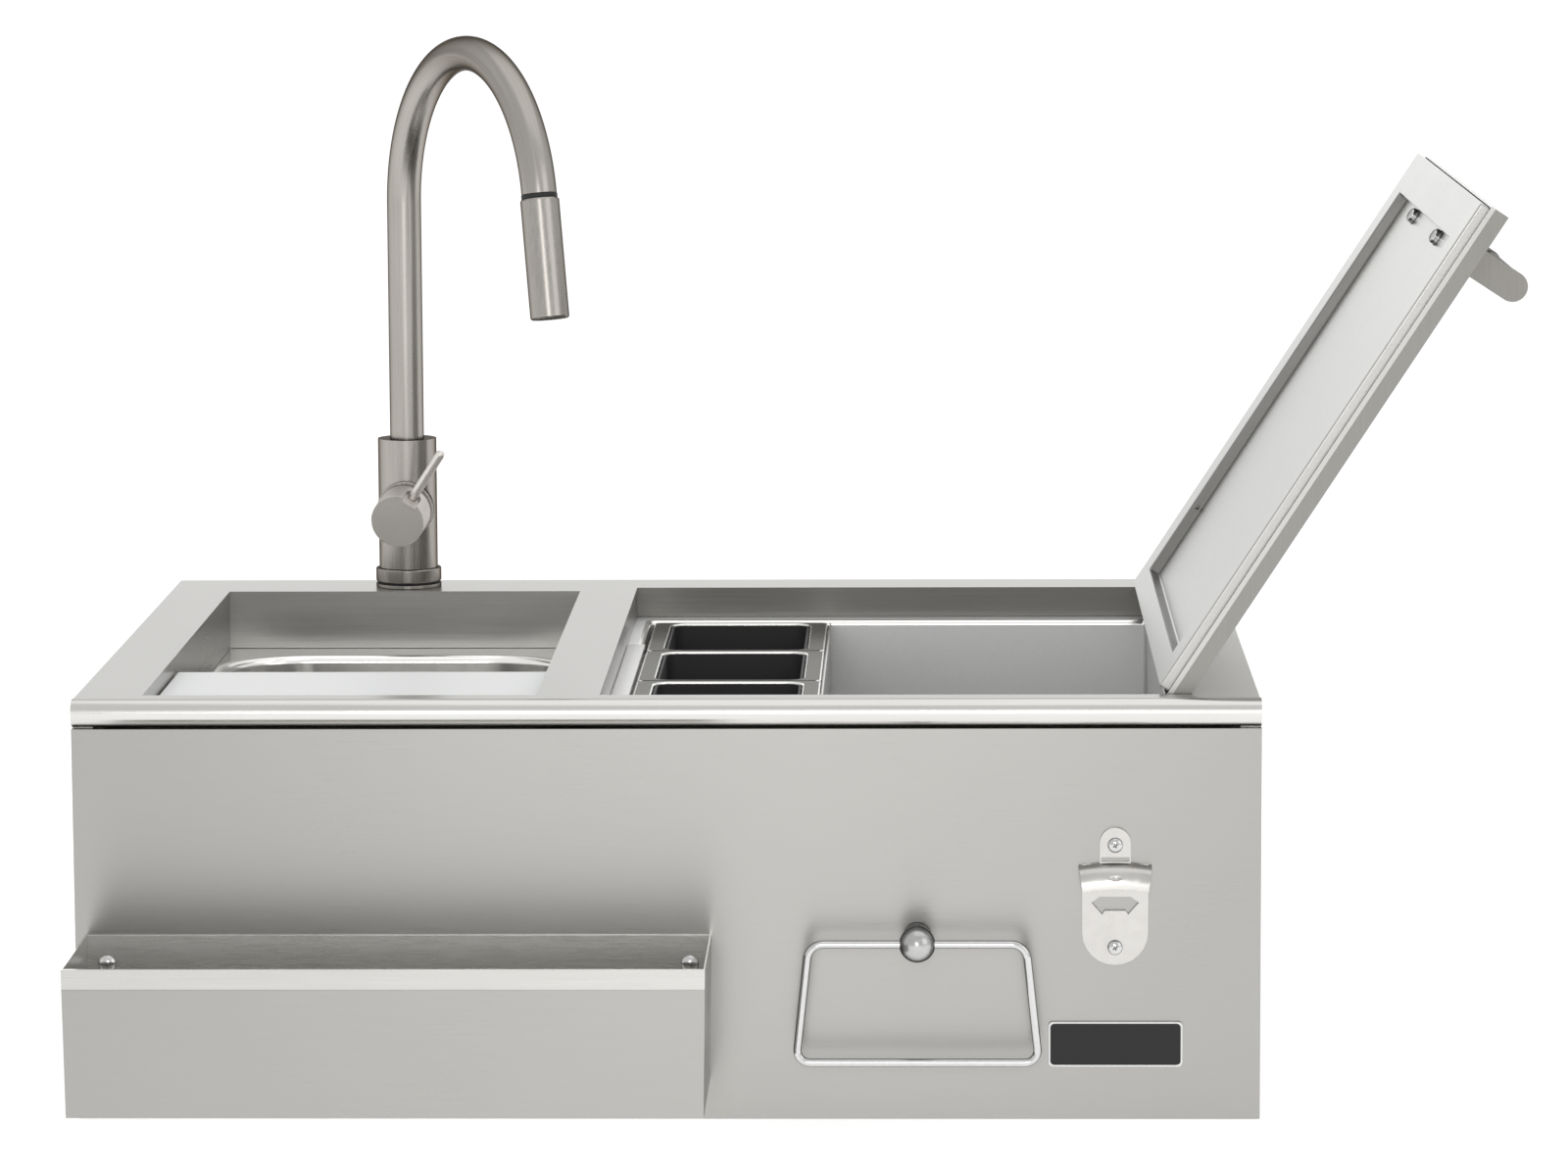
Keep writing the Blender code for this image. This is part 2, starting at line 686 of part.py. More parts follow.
def apron(look):
    y0, y1 = APRON_Y, APRON_Y + APRON_RETURN
    xs = [LEFT, LEFT + SHEET, RIGHT - SHEET, RIGHT]
    ys = [y0, y0 + SHEET, y0 + APRON_FLANGE, y1]
    zs = [0, SHEET, APRON_TOP - SHEET, APRON_TOP]

    def filled(x, y, z):
        if y < y0 + SHEET or abs(x) > RIGHT - SHEET:
            return True
        return y < y0 + APRON_FLANGE and (z < SHEET or z > APRON_TOP - SHEET)

    shape = cells(xs, ys, zs, filled)
    bend(shape, APRON_BEND, lambda a, b: abs(a.z - b.z) > APRON_TOP / 2 and abs(abs(a.x) - RIGHT) < GAP
         and max(a.y, b.y) < y0 + GAP)
    made = finish("front_apron", shape, look)
    places = [(x, z, BOLT_SHANK_RADIUS) for x, z in rail_bolt_places()]
    places += [(OPENER_X, z, SCREW_SHANK_RADIUS) for z in opener_screw_heights()]
    for x, z, radius in places:
        start = Vector((x, y0 - OVERRUN, z))
        cut = rod(radius + HOLE_CLEARANCE, start, (0, 1, 0), SHEET + 2 * OVERRUN, FEW_SIDES)
        combine(made, cut, "DIFFERENCE")
    return made


def side_panel(name, side, look):
    """A side wall with a flange out to the apron and one in under the deck."""
    outer, inner = side * CASE_X, side * (CASE_X - SHEET)
    shelf = side * (CASE_X - CASE_FLANGE)
    apron_edge = side * (WIDTH / 2 - GAP)
    flange_top = HEIGHT - LIP_DROP - GAP
    xs = [outer, inner, shelf, apron_edge]
    ys = [CASE_FRONT, CASE_FRONT + SHEET, CASE_BACK]
    zs = [0, flange_top, CASE_TOP - SHEET, CASE_TOP]

    def filled(x, y, z):
        reach = abs(x)
        if reach > CASE_X:
            return y < CASE_FRONT + SHEET and z < flange_top
        return reach > CASE_X - SHEET or z > CASE_TOP - SHEET

    return finish(name, cells(xs, ys, zs, filled), look)


def rear_panel(look):
    edge = CASE_X - SHEET - GAP
    xs = [-edge, -edge + SHEET, edge - SHEET, edge]
    ys = [CASE_BACK - CASE_FLANGE, CASE_BACK - SHEET, CASE_BACK]
    top = CASE_TOP - SHEET - GAP
    shape = cells(xs, ys, [0, top], lambda x, y, z: y > CASE_BACK - SHEET or abs(x) > edge - SHEET)
    return finish("rear_panel", shape, look)


def base_panel(look):
    edge = CASE_X - SHEET - 2 * GAP - SHEET
    y0, y1 = APRON_Y + APRON_FLANGE + GAP, CASE_BACK - SHEET - GAP
    front_edge = CASE_FRONT
    xs = [-edge, -edge + SHEET, edge - SHEET, edge]
    ys = [y0, front_edge, y0 + SHEET, y1 - SHEET, y1]
    zs = [0, SHEET, BASE_UPSTAND]

    def filled(x, y, z):
        wall = abs(x) > edge - SHEET or y < y0 + SHEET or y > y1 - SHEET
        return z < SHEET or wall

    made = finish("base_panel", cells(xs, ys, zs, filled), look)
    holes = [(*bowl_drain(), TAIL_RADIUS + TAIL_HOLE_CLEARANCE),
             (*bin_drain_place(), BIN_DRAIN_RADIUS + BIN_DRAIN_CLEARANCE)]
    for x, y, radius in holes:
        combine(made, rod(radius, Vector((x, y, -OVERRUN)), (0, 0, 1), SHEET + 2 * OVERRUN), "DIFFERENCE")
    return made


def bowl_hole():
    return (SINK_X0 + BOWL_SIDE_MARGIN, OPEN_Y0 + BOWL_FRONT_MARGIN,
            SINK_X1 - BOWL_SIDE_MARGIN, SINK_Y1 - BOWL_BACK_MARGIN)


def bowl_drain():
    x0, y0, x1, y1 = bowl_hole()
    return ((x0 + x1) / 2, (y0 + y1) / 2)


def sink(steel, dull):
    top = HEIGHT - SINK_WELL - GAP
    floor = BOWL_FLOOR_HEIGHT
    lap = SHEET + BOWL_FLANGE_LAP
    flange = (SINK_X0 - lap, OPEN_Y0 - lap, SINK_X1 + lap, SINK_Y1 + lap)
    x, y = bowl_drain()
    shape = basin(bowl_hole(), BOWL_CORNER, BOWL_RIM_RADIUS, top, floor, BOWL_FLOOR_RADIUS, BOWL_DRAFT,
                  DRAIN_HOLE_RADIUS, (x, y), flange, SHEET)
    finish("sink_bowl", shape, steel)

    seat = floor + GAP
    cup_floor = seat - STRAINER_CUP_DEPTH
    neck = TAIL_RADIUS - TAIL_WALL - GAP
    wall = STRAINER_WALL
    outside = STRAINER_CUP_RADIUS
    profile = [(neck - wall, cup_floor), (outside - wall, cup_floor), (outside - wall, seat),
               (STRAINER_FLANGE_RADIUS - wall, seat + wall), (STRAINER_FLANGE_RADIUS, seat),
               (outside, seat), (outside, cup_floor - wall), (neck, cup_floor - wall),
               (neck, cup_floor - wall - TAIL_LAP), (neck - wall, cup_floor - wall - TAIL_LAP)]
    strainer = turned([(r, h) for r, h in profile], FINE_SIDES)
    finish("sink_strainer", along(strainer, (x, y, 0), (0, 0, 1)), steel)

    nut_top = floor - SHEET - GAP
    nut_foot = nut_top - STRAINER_NUT_HEIGHT
    profile = [(outside + GAP, nut_top), (STRAINER_NUT_RADIUS, nut_top),
               (STRAINER_NUT_RADIUS, nut_foot), (outside + GAP, nut_foot)]
    finish("strainer_nut", along(turned(profile, FINE_SIDES), (x, y, 0), (0, 0, 1)), dull)

    tail_top = cup_floor - wall - GAP
    inner = TAIL_RADIUS - TAIL_WALL
    profile = [(inner, tail_top), (TAIL_RADIUS, tail_top), (TAIL_RADIUS, TAIL_FOOT), (inner, TAIL_FOOT)]
    finish("sink_tailpiece", along(turned(profile), (x, y, 0), (0, 0, 1)), steel)

    place = Vector((x, y, tail_top - GAP - SLIP_NUT_HEIGHT))
    hex_nut("tailpiece_nut", SLIP_NUT_ACROSS, SLIP_NUT_HEIGHT, TAIL_RADIUS + GAP, place, dull)

    basket_floor = cup_floor + GAP
    wall = BASKET_WALL
    lip = BASKET_RADIUS
    profile = [(0, basket_floor), (lip - wall, basket_floor), (lip, basket_floor + BASKET_HEIGHT),
               (lip - wall, basket_floor + BASKET_HEIGHT), (lip - 2 * wall, basket_floor + wall),
               (BASKET_KNOB_RADIUS / 2, basket_floor + wall),
               (BASKET_KNOB_RADIUS / 2, basket_floor + BASKET_KNOB_HEIGHT),
               (BASKET_KNOB_RADIUS, basket_floor + BASKET_KNOB_HEIGHT + wall),
               (BASKET_KNOB_RADIUS, basket_floor + BASKET_KNOB_HEIGHT + BASKET_KNOB_RADIUS),
               (0, basket_floor + BASKET_KNOB_HEIGHT + BASKET_KNOB_RADIUS)]
    lift = empty("basket_lift", Vector((x, y, 0)))
    finish("sink_basket", turned(profile), steel, lift)


def board(steel, white):
    top = HEIGHT - BOARD_TOP_DROP
    x0, x1 = SINK_X0 + BOARD_SIDE_GAP, SINK_X1 - BOARD_SIDE_GAP
    y0 = OPEN_Y0 + BOARD_FRONT_GAP
    middle = Vector(((x0 + x1) / 2, y0 + BOARD_LENGTH / 2, top))
    lift = empty("board_lift", middle)
    half = Vector(((x1 - x0) / 2, BOARD_LENGTH / 2, 0))
    shape = block(-half - Vector((0, 0, BOARD_THICKNESS)), half)
    bend(shape, BOARD_BEVEL, lambda a, b: True)
    finish("cutting_board", shape, white, lift)

    rest_top = top - BOARD_THICKNESS - GAP
    y0 = OPEN_Y0 + REST_FRONT_GAP
    for name, wall, side in (("board_rest_left", SINK_X0, 1), ("board_rest_right", SINK_X1, -1)):
        face = wall + side * GAP
        xs = [face, face + side * SHEET, face + side * REST_WIDTH]
        zs = [rest_top - REST_HEIGHT, rest_top - SHEET, rest_top]
        edge = abs(face + side * SHEET - wall)
        shape = cells(xs, [y0, y0 + REST_LENGTH], zs,
                      lambda x, y, z: z > rest_top - SHEET or abs(x - wall) < edge)
        finish(name, shape, steel)


def bin_drain_place():
    return ((LINER_X0 + LINER_X1) / 2, LINER_Y0 + BIN_DRAIN_SETBACK)


def ice_bin(steel, foam_look, dull):
    x, y = bin_drain_place()
    lap = SHEET + LINER_LAP
    flange = (BIN_X0 - lap, OPEN_Y0 - lap, BIN_X1 + lap, BIN_Y1 + lap)
    hole = (LINER_X0, LINER_Y0, LINER_X1, LINER_Y1)
    shape = basin(hole, LINER_CORNER, LINER_RIM_RADIUS, LEDGE_TOP, LINER_FLOOR, LINER_FLOOR_RADIUS, 0,
                  BIN_DRAIN_RADIUS + GAP, (x, y), flange, THIN_SHEET, 0, ARC_STEPS // 2)
    finish("bin_liner", shape, steel)

    skin_gap = THIN_SHEET + GAP
    foam_inner = (LINER_X0 - skin_gap, LINER_Y0 - skin_gap, LINER_X1 + skin_gap, LINER_Y1 + skin_gap)
    foam_top = LEDGE_TOP - LINER_RIM_RADIUS - THIN_SHEET
    foam_deck = LINER_FLOOR - skin_gap
    foam = open_box(foam_inner, FOAM_WALL, foam_deck - FOAM_FLOOR, foam_deck, foam_top)
    made = finish("bin_insulation", foam, foam_look)
    drill = BIN_DRAIN_RADIUS + BIN_DRAIN_CLEARANCE
    combine(made, rod(drill, Vector((x, y, -OVERRUN)), (0, 0, 1), foam_deck + 2 * OVERRUN), "DIFFERENCE")

    reach = FOAM_WALL + GAP
    shell_inner = (foam_inner[0] - reach, foam_inner[1] - reach,
                   foam_inner[2] + reach, foam_inner[3] + reach)
    shell_deck = foam_deck - FOAM_FLOOR - GAP
    shell = open_box(shell_inner, SHEET, shell_deck - SHEET, shell_deck, LEDGE_TOP - THIN_SHEET - GAP)
    made = finish("bin_shell", shell, dull)
    combine(made, rod(drill, Vector((x, y, -OVERRUN)), (0, 0, 1), shell_deck + 2 * OVERRUN), "DIFFERENCE")

    seat = LINER_FLOOR + GAP
    wall = BIN_DRAIN_WALL
    profile = [(BIN_DRAIN_RADIUS - wall, BIN_DRAIN_FOOT), (BIN_DRAIN_RADIUS - wall, seat + wall),
               (BIN_DRAIN_FLANGE - wall, seat + wall), (BIN_DRAIN_FLANGE, seat),
               (BIN_DRAIN_RADIUS, seat), (BIN_DRAIN_RADIUS, BIN_DRAIN_FOOT)]
    finish("bin_drain", along(turned(profile), (x, y, 0), (0, 0, 1)), steel)


def open_box(inner, wall, low, floor, top):
    """A box with no lid: inner is its clear (x0, y0, x1, y1)."""
    x0, y0, x1, y1 = inner
    xs, ys, zs = [x0 - wall, x0, x1, x1 + wall], [y0 - wall, y0, y1, y1 + wall], [low, floor, top]
    return cells(xs, ys, zs, lambda x, y, z: z < floor or not (x0 < x < x1 and y0 < y < y1))


def pan_left():
    return LINER_X0 + PAN_LEFT


def pan_back(n):
    return LINER_Y1 - PAN_BACK_GAP - n * PAN_PITCH


def pans(steel, black):
    top = HEIGHT - PAN_DROP
    floor = top - PAN_DEPTH
    x0 = pan_left()
    for n in range(PAN_COUNT):
        y1 = pan_back(n)
        y0 = y1 - PAN_LENGTH
        middle = Vector((x0 + PAN_WIDTH / 2, (y0 + y1) / 2, 0))
        lift = empty(f"pan_{n + 1}_lift", middle)
        half_x, half_y = PAN_WIDTH / 2, PAN_LENGTH / 2
        hole_x, hole_y = half_x - PAN_SIDE_FLANGE, half_y - PAN_END_FLANGE
        hole = (-hole_x, -hole_y, hole_x, hole_y)
        flange = (-half_x, -half_y, half_x, half_y)
        shape = basin(hole, PAN_CORNER, PAN_RIM_RADIUS, top, floor, PAN_FLOOR_RADIUS, PAN_DRAFT, 0, None,
                      flange, THIN_SHEET, PAN_EDGE_DROP, ARC_STEPS // 2, 2)
        finish(f"condiment_pan_{n + 1}", shape, steel, lift)
        finish(f"pan_insert_{n + 1}", pan_insert(hole_x, hole_y, top, floor), black, lift)


def pan_insert(hole_x, hole_y, top, floor):
    """A tapered cup that stands in the pan, a little below its rim."""
    upper, lower = top - INSERT_DROP, floor + GAP
    rise = (upper - lower) / PAN_DEPTH

    def ring(inset, height):
        taper = PAN_DRAFT * rise * (upper - height) / (upper - lower) + INSERT_GAP + inset
        corner = PAN_CORNER - taper
        return rounded((0, 0), hole_x - taper, hole_y - taper, corner, height, ARC_STEPS // 2)

    bottom = PAN_FLOOR_RADIUS
    rings = [ring(bottom, lower), ring(0, lower + bottom), ring(0, upper), ring(INSERT_WALL, upper),
             ring(INSERT_WALL, lower + bottom), ring(bottom + INSERT_WALL / 2, lower + INSERT_WALL)]
    return skin(rings)


def pan_rail(look):
    """A hooked rail: it lies on the bin's left ledge and carries the pans' left rims."""
    sheet = THIN_SHEET
    lip_low = LEDGE_TOP + GAP
    shelf_top = HEIGHT - PAN_DROP - PAN_EDGE_DROP - GAP
    leg = LINER_X0 + GAP
    xs = [BIN_X0 + sheet, leg, leg + sheet, leg + RAIL_SHELF]
    ys = [LINER_Y0 + LEDGE_SIDE, pan_back(0) - PAN_LENGTH + RAIL_LAP]
    zs = [shelf_top - sheet, shelf_top, lip_low, lip_low + sheet]

    def filled(x, y, z):
        if z > lip_low:
            return x < leg + sheet
        return leg < x < leg + sheet or (x > leg and z < shelf_top)

    return finish("pan_rail", cells(xs, ys, zs, filled), look)


def divider(look):
    """The upright plate right of the pans, which stands on the bin's floor."""
    sheet = THIN_SHEET
    x0 = pan_left() + PAN_WIDTH + DIVIDER_GAP
    foot = LINER_FLOOR + GAP
    clear = foot + LINER_FLOOR_RADIUS
    shelf_top = HEIGHT - PAN_DROP - PAN_EDGE_DROP - GAP
    top = HEIGHT - PAN_DROP - GAP
    y0, y1 = LINER_Y0 + DIVIDER_END_GAP, LINER_Y1 - DIVIDER_END_GAP
    inset = LINER_FLOOR_RADIUS
    pan_front = pan_back(PAN_COUNT - 1) - PAN_LENGTH
    xs = [x0 - DIVIDER_SHELF, x0, x0 + sheet, x0 + DIVIDER_FOOT]
    ys = [y0, y0 + inset, pan_front, y1 - inset, y1]
    zs = [foot, foot + sheet, clear, shelf_top - sheet, shelf_top, top]

    def filled(x, y, z):
        if y < y0 + inset or y > y1 - inset:
            if z < clear:
                return False
        if x0 < x < x0 + sheet:
            return True
        if x > x0:
            return z < foot + sheet
        return shelf_top - sheet < z < shelf_top and pan_front < y < y1 - inset

    return finish("bin_divider", cells(xs, ys, zs, filled), look)


def lid_span():
    """The closed lid's outer edges, measured from its pivot."""
    return (BIN_X0 + LID_GAP - LID_PIVOT.x, OPEN_Y0 + LID_GAP, BIN_X1 - LID_GAP - LID_PIVOT.x,
            BIN_Y1 - LID_GAP)


def lid(steel, tube_look, chrome):
    turn = Matrix.Rotation(math.radians(LID_OPEN_DEG), 4, "Y")
    hinge = empty("lid_hinge", LID_PIVOT, turn)
    sheet = THIN_SHEET
    x0, y0, x1, y1 = lid_span()
    top = LID_PIVOT_DROP
    xs, ys = [x0, x0 + sheet, x1 - sheet, x1], [y0, y0 + sheet, y1 - sheet, y1]
    shape = cells(xs, ys, [top - LID_SKIRT, top - sheet, top],
                  lambda x, y, z: z > top - sheet or not (x0 + sheet < x < x1 - sheet
                                                          and y0 + sheet < y < y1 - sheet))
    bend(shape, LID_BEND, lambda a, b: min(a.z, b.z) > top - sheet / 2)
    outer = finish("lid_pan", shape, steel, hinge)

    inset = LID_LINER_INSET
    lx0, ly0, lx1, ly1 = x0 + inset, y0 + inset, x1 - inset, y1 - inset
    rx0, rx1 = x0 + LID_FREE_BORDER, x1 - LID_HINGE_BORDER
    ry0, ry1 = y0 + LID_SIDE_BORDER, y1 - LID_SIDE_BORDER
    low = top - LID_HEIGHT
    panel = low + LID_RECESS
    high = top - sheet - GAP
    xs = [lx0, lx0 + sheet, rx0 - sheet, rx0, rx1, rx1 + sheet, lx1 - sheet, lx1]
    ys = [ly0, ly0 + sheet, ry0 - sheet, ry0, ry1, ry1 + sheet, ly1 - sheet, ly1]

    def filled(x, y, z):
        recess = rx0 < x < rx1 and ry0 < y < ry1
        if recess:
            return panel < z < panel + sheet
        if z < low + sheet:
            return True
        if rx0 - sheet < x < rx1 + sheet and ry0 - sheet < y < ry1 + sheet:
            return z < panel + sheet
        return not (lx0 + sheet < x < lx1 - sheet and ly0 + sheet < y < ly1 - sheet)

    shape = cells(xs, ys, [low, low + sheet, panel, panel + sheet, high], filled)
    liner = finish("lid_liner", shape, steel, hinge)

    for y in (y0 - OVERRUN, y1 - sheet - OVERRUN / 2):
        cut = rod(HINGE_PIN_RADIUS + GAP, Vector((0, y, 0)), (0, 1, 0),
                  OVERRUN + sheet + OVERRUN / 2, FEW_SIDES)
        combine(outer, cut, "DIFFERENCE")

    handle_x = x0 + HANDLE_INSET
    middle = (y0 + y1) / 2
    half = HANDLE_POST_WIDTH / 2
    foot = top + GAP
    rise = top + HANDLE_RISE
    arc = [math.pi * n / (2 * ARC_STEPS) for n in range(2 * ARC_STEPS + 1)]
    outline = [(half * math.cos(a), rise + half * math.sin(a)) for a in arc]
    outline = [(half, foot)] + outline + [(-half, foot)]
    for name, side in (("front", -1), ("back", 1)):
        y = middle + side * HANDLE_SPACING / 2
        start = Vector((handle_x, y + HANDLE_POST_THICKNESS / 2, 0))
        plate = prism(outline, start, (1, 0, 0), (0, 0, 1), HANDLE_POST_THICKNESS)
        post = finish(f"handle_post_{name}", plate, steel, hinge)
        bore = rod(HANDLE_TUBE_RADIUS + GAP, Vector((handle_x, y - side * HANDLE_POST_THICKNESS, rise)),
                   (0, side, 0), HANDLE_TUBE_LAP + HANDLE_POST_THICKNESS / 2, SIDES)
        combine(post, bore, "DIFFERENCE")
        drill = HANDLE_STUD_RADIUS
        place = Vector((handle_x, y, panel - OVERRUN))
        combine(post, rod(drill, place, (0, 0, 1), foot - panel + OVERRUN + HANDLE_STUD_LAP, FEW_SIDES),
                "DIFFERENCE")
        for sheet_piece in (outer, liner):
            combine(sheet_piece, rod(drill, place, (0, 0, 1), top - panel + 2 * OVERRUN, FEW_SIDES),
                    "DIFFERENCE")
        seat = panel - GAP
        stud = HANDLE_STUD_RADIUS - GAP
        nut = HANDLE_NUT_RADIUS
        stud_top = foot + HANDLE_STUD_LAP - GAP
        dome = [(nut * math.cos(a), seat - HANDLE_NUT_HEIGHT / 2 - nut / 2 * math.sin(a))
                for a in (0, math.pi / 6, math.pi / 3)]
        profile = [(0, seat - HANDLE_NUT_HEIGHT / 2 - nut / 2)] + dome[::-1] + [
            (nut, seat), (stud, seat), (stud, stud_top), (0, stud_top)]
        dome_nut = along(turned(profile, FEW_SIDES), (handle_x, y, 0), (0, 0, 1))
        finish(f"handle_nut_{name}", dome_nut, chrome, hinge)

    inner_face = HANDLE_SPACING / 2 - HANDLE_POST_THICKNESS / 2 + HANDLE_TUBE_LAP - GAP
    start = Vector((handle_x, middle - inner_face, rise))
    finish("handle_tube", rod(HANDLE_TUBE_RADIUS, start, (0, 1, 0), 2 * inner_face), tube_look, hinge)

    for name, y, way in (("front", OPEN_Y0, 1), ("back", BIN_Y1, -1)):
        start = Vector((LID_PIVOT.x, y - way * (SHEET + HINGE_PIN_LAP), LID_PIVOT.z))
        length = SHEET + HINGE_PIN_LAP + LID_GAP + sheet + HINGE_PIN_LAP - sheet
        finish(f"hinge_pin_{name}", rod(HINGE_PIN_RADIUS, start, (0, way, 0), length, FEW_SIDES), chrome)


def spout_path(start, steps):
    """The gooseneck's middle line, from a height below its bend to its mouth."""
    azimuth = math.radians(SPOUT_AZIMUTH_DEG)
    ahead = Vector((math.cos(azimuth), -math.sin(azimuth), 0))
    sweep = math.pi - math.radians(SPOUT_SPLAY_DEG)
    points = [Vector((0, 0, start))]
    for n in range(steps + 1):
        angle = sweep * n / steps
        reach = SPOUT_BEND * (1 - math.cos(angle))
        points.append(ahead * reach + Vector((0, 0, SPOUT_STRAIGHT + SPOUT_BEND * math.sin(angle))))
    return points


def mouth():
    """The gooseneck's end, and the way that it points, from the faucet's foot."""
    azimuth, splay = math.radians(SPOUT_AZIMUTH_DEG), math.radians(SPOUT_SPLAY_DEG)
    ahead = Vector((math.cos(azimuth), -math.sin(azimuth), 0))
    way = ahead * math.sin(splay) - Vector((0, 0, math.cos(splay)))
    return spout_path(0, SPOUT_STEPS)[-1], way.normalized()


def faucet_foot(steel, black, dull):
    up = (0, 0, 1)
    bore = SHANK_RADIUS + GAP
    low = GAP
    ring = [(bore, low), (PLATE_RADIUS, low), (PLATE_RADIUS, low + PLATE_HEIGHT), (bore, low + PLATE_HEIGHT)]
    finish("faucet_plate", along(turned(ring, FINE_SIDES), FAUCET, up), steel)
    low += PLATE_HEIGHT + GAP
    high = low + GASKET_HEIGHT
    ring = [(bore, low), (GASKET_RADIUS, low), (GASKET_RADIUS, high), (bore, high)]
    finish("faucet_gasket", along(turned(ring, FINE_SIDES), FAUCET, up), black)
    low += GASKET_HEIGHT + GAP
    high = low + BASE_RING_HEIGHT
    chamfer = BASE_RING_BEVEL
    ring = [(bore, low), (PLATE_RADIUS - chamfer, low), (PLATE_RADIUS, low + chamfer),
            (PLATE_RADIUS, high - chamfer), (PLATE_RADIUS - chamfer, high), (bore, high)]
    finish("faucet_base_ring", along(turned(ring, FINE_SIDES), FAUCET, up), steel)

    foot, head = -SHEET - SHANK_LENGTH, BODY_BASE + SHANK_LAP
    ring = [(SHANK_BORE, foot), (SHANK_RADIUS, foot), (SHANK_RADIUS, head), (SHANK_BORE, head)]
    finish("faucet_shank", along(turned(ring), FAUCET, up), dull)
    high = -SHEET - GAP
    foot = high - WASHER_HEIGHT
    ring = [(bore, high), (WASHER_RADIUS, high), (WASHER_RADIUS, foot), (bore, foot)]
    finish("deck_washer", along(turned(ring), FAUCET, up), black)
    high -= WASHER_HEIGHT + GAP
    place = FAUCET + Vector((0, 0, high - DECK_NUT_HEIGHT))
    hex_nut("deck_nut", DECK_NUT_ACROSS, DECK_NUT_HEIGHT, bore, place, dull)


def faucet_body(look):
    low, high = BODY_BASE, BODY_BASE + BODY_HEIGHT
    made = finish("faucet_body", rod(BODY_RADIUS, FAUCET + Vector((0, 0, low)), (0, 0, 1), high - low,
                                     FINE_SIDES), look)
    valve = FAUCET + Vector((0, 0, VALVE_HEIGHT))
    combine(made, rod(COLLAR_RADIUS, valve, (0, -1, 0), COLLAR_REACH, FINE_SIDES), "UNION")
    start = FAUCET + Vector((0, 0, low - OVERRUN))
    combine(made, rod(BODY_BORE, start, (0, 0, 1), high - low + 2 * OVERRUN), "DIFFERENCE")
    combine(made, rod(COLLAR_BORE, valve + Vector((0, -BODY_BORE + OVERRUN, 0)), (0, -1, 0),
                      COLLAR_REACH), "DIFFERENCE")
    return made


def spout(steel, black):
    swivel = empty("spout_swivel", FAUCET)
    start = BODY_BASE + BODY_HEIGHT - SPOUT_LAP
    path = spout_path(start, SPOUT_STEPS)
    outer = tube_rings(path, SPOUT_RADIUS, SIDES)
    inner = tube_rings(path, SPOUT_RADIUS - SPOUT_WALL, SIDES)
    finish("spout", skin(outer + inner[::-1], closed=True), steel, swivel)

    end, way = mouth()
    ring = [(DOCK_RING_BORE, GAP), (DOCK_RING_RADIUS, GAP), (DOCK_RING_RADIUS, HEAD_GAP - GAP),
            (DOCK_RING_BORE, HEAD_GAP - GAP)]
    finish("spout_dock_ring", along(turned(ring), end, way), black, swivel)


def spray_head(steel, black):
    end, way = mouth()
    pull = empty("spray_pull", FAUCET + end)
    low, high = HEAD_GAP, HEAD_GAP + HEAD_LENGTH
    bore = HOSE_RADIUS + GAP
    socket = low + HEAD_SOCKET_DEPTH
    rim = HEAD_RADIUS - HEAD_BEVEL
    face = high - HEAD_MOUTH_DEPTH
    profile = [(0, socket), (bore, socket), (bore, low), (rim, low), (HEAD_RADIUS, low + HEAD_BEVEL),
               (HEAD_RADIUS, high - HEAD_BEVEL), (rim, high), (HEAD_MOUTH_RADIUS, high),
               (HEAD_MOUTH_RADIUS, face), (0, face)]
    finish("spray_head", along(turned(profile, FINE_SIDES), (0, 0, 0), way), steel, pull)
    hose = HOSE_INSIDE_SPOUT + HEAD_GAP + HOSE_INSIDE_HEAD
    finish("spray_hose", rod(HOSE_RADIUS, -way * HOSE_INSIDE_SPOUT, way, hose, FEW_SIDES), black, pull)
    start = way * (face + GAP)
    finish("spray_nozzle", rod(HEAD_MOUTH_RADIUS - GAP, start, way, NOZZLE_HEIGHT), black, pull)


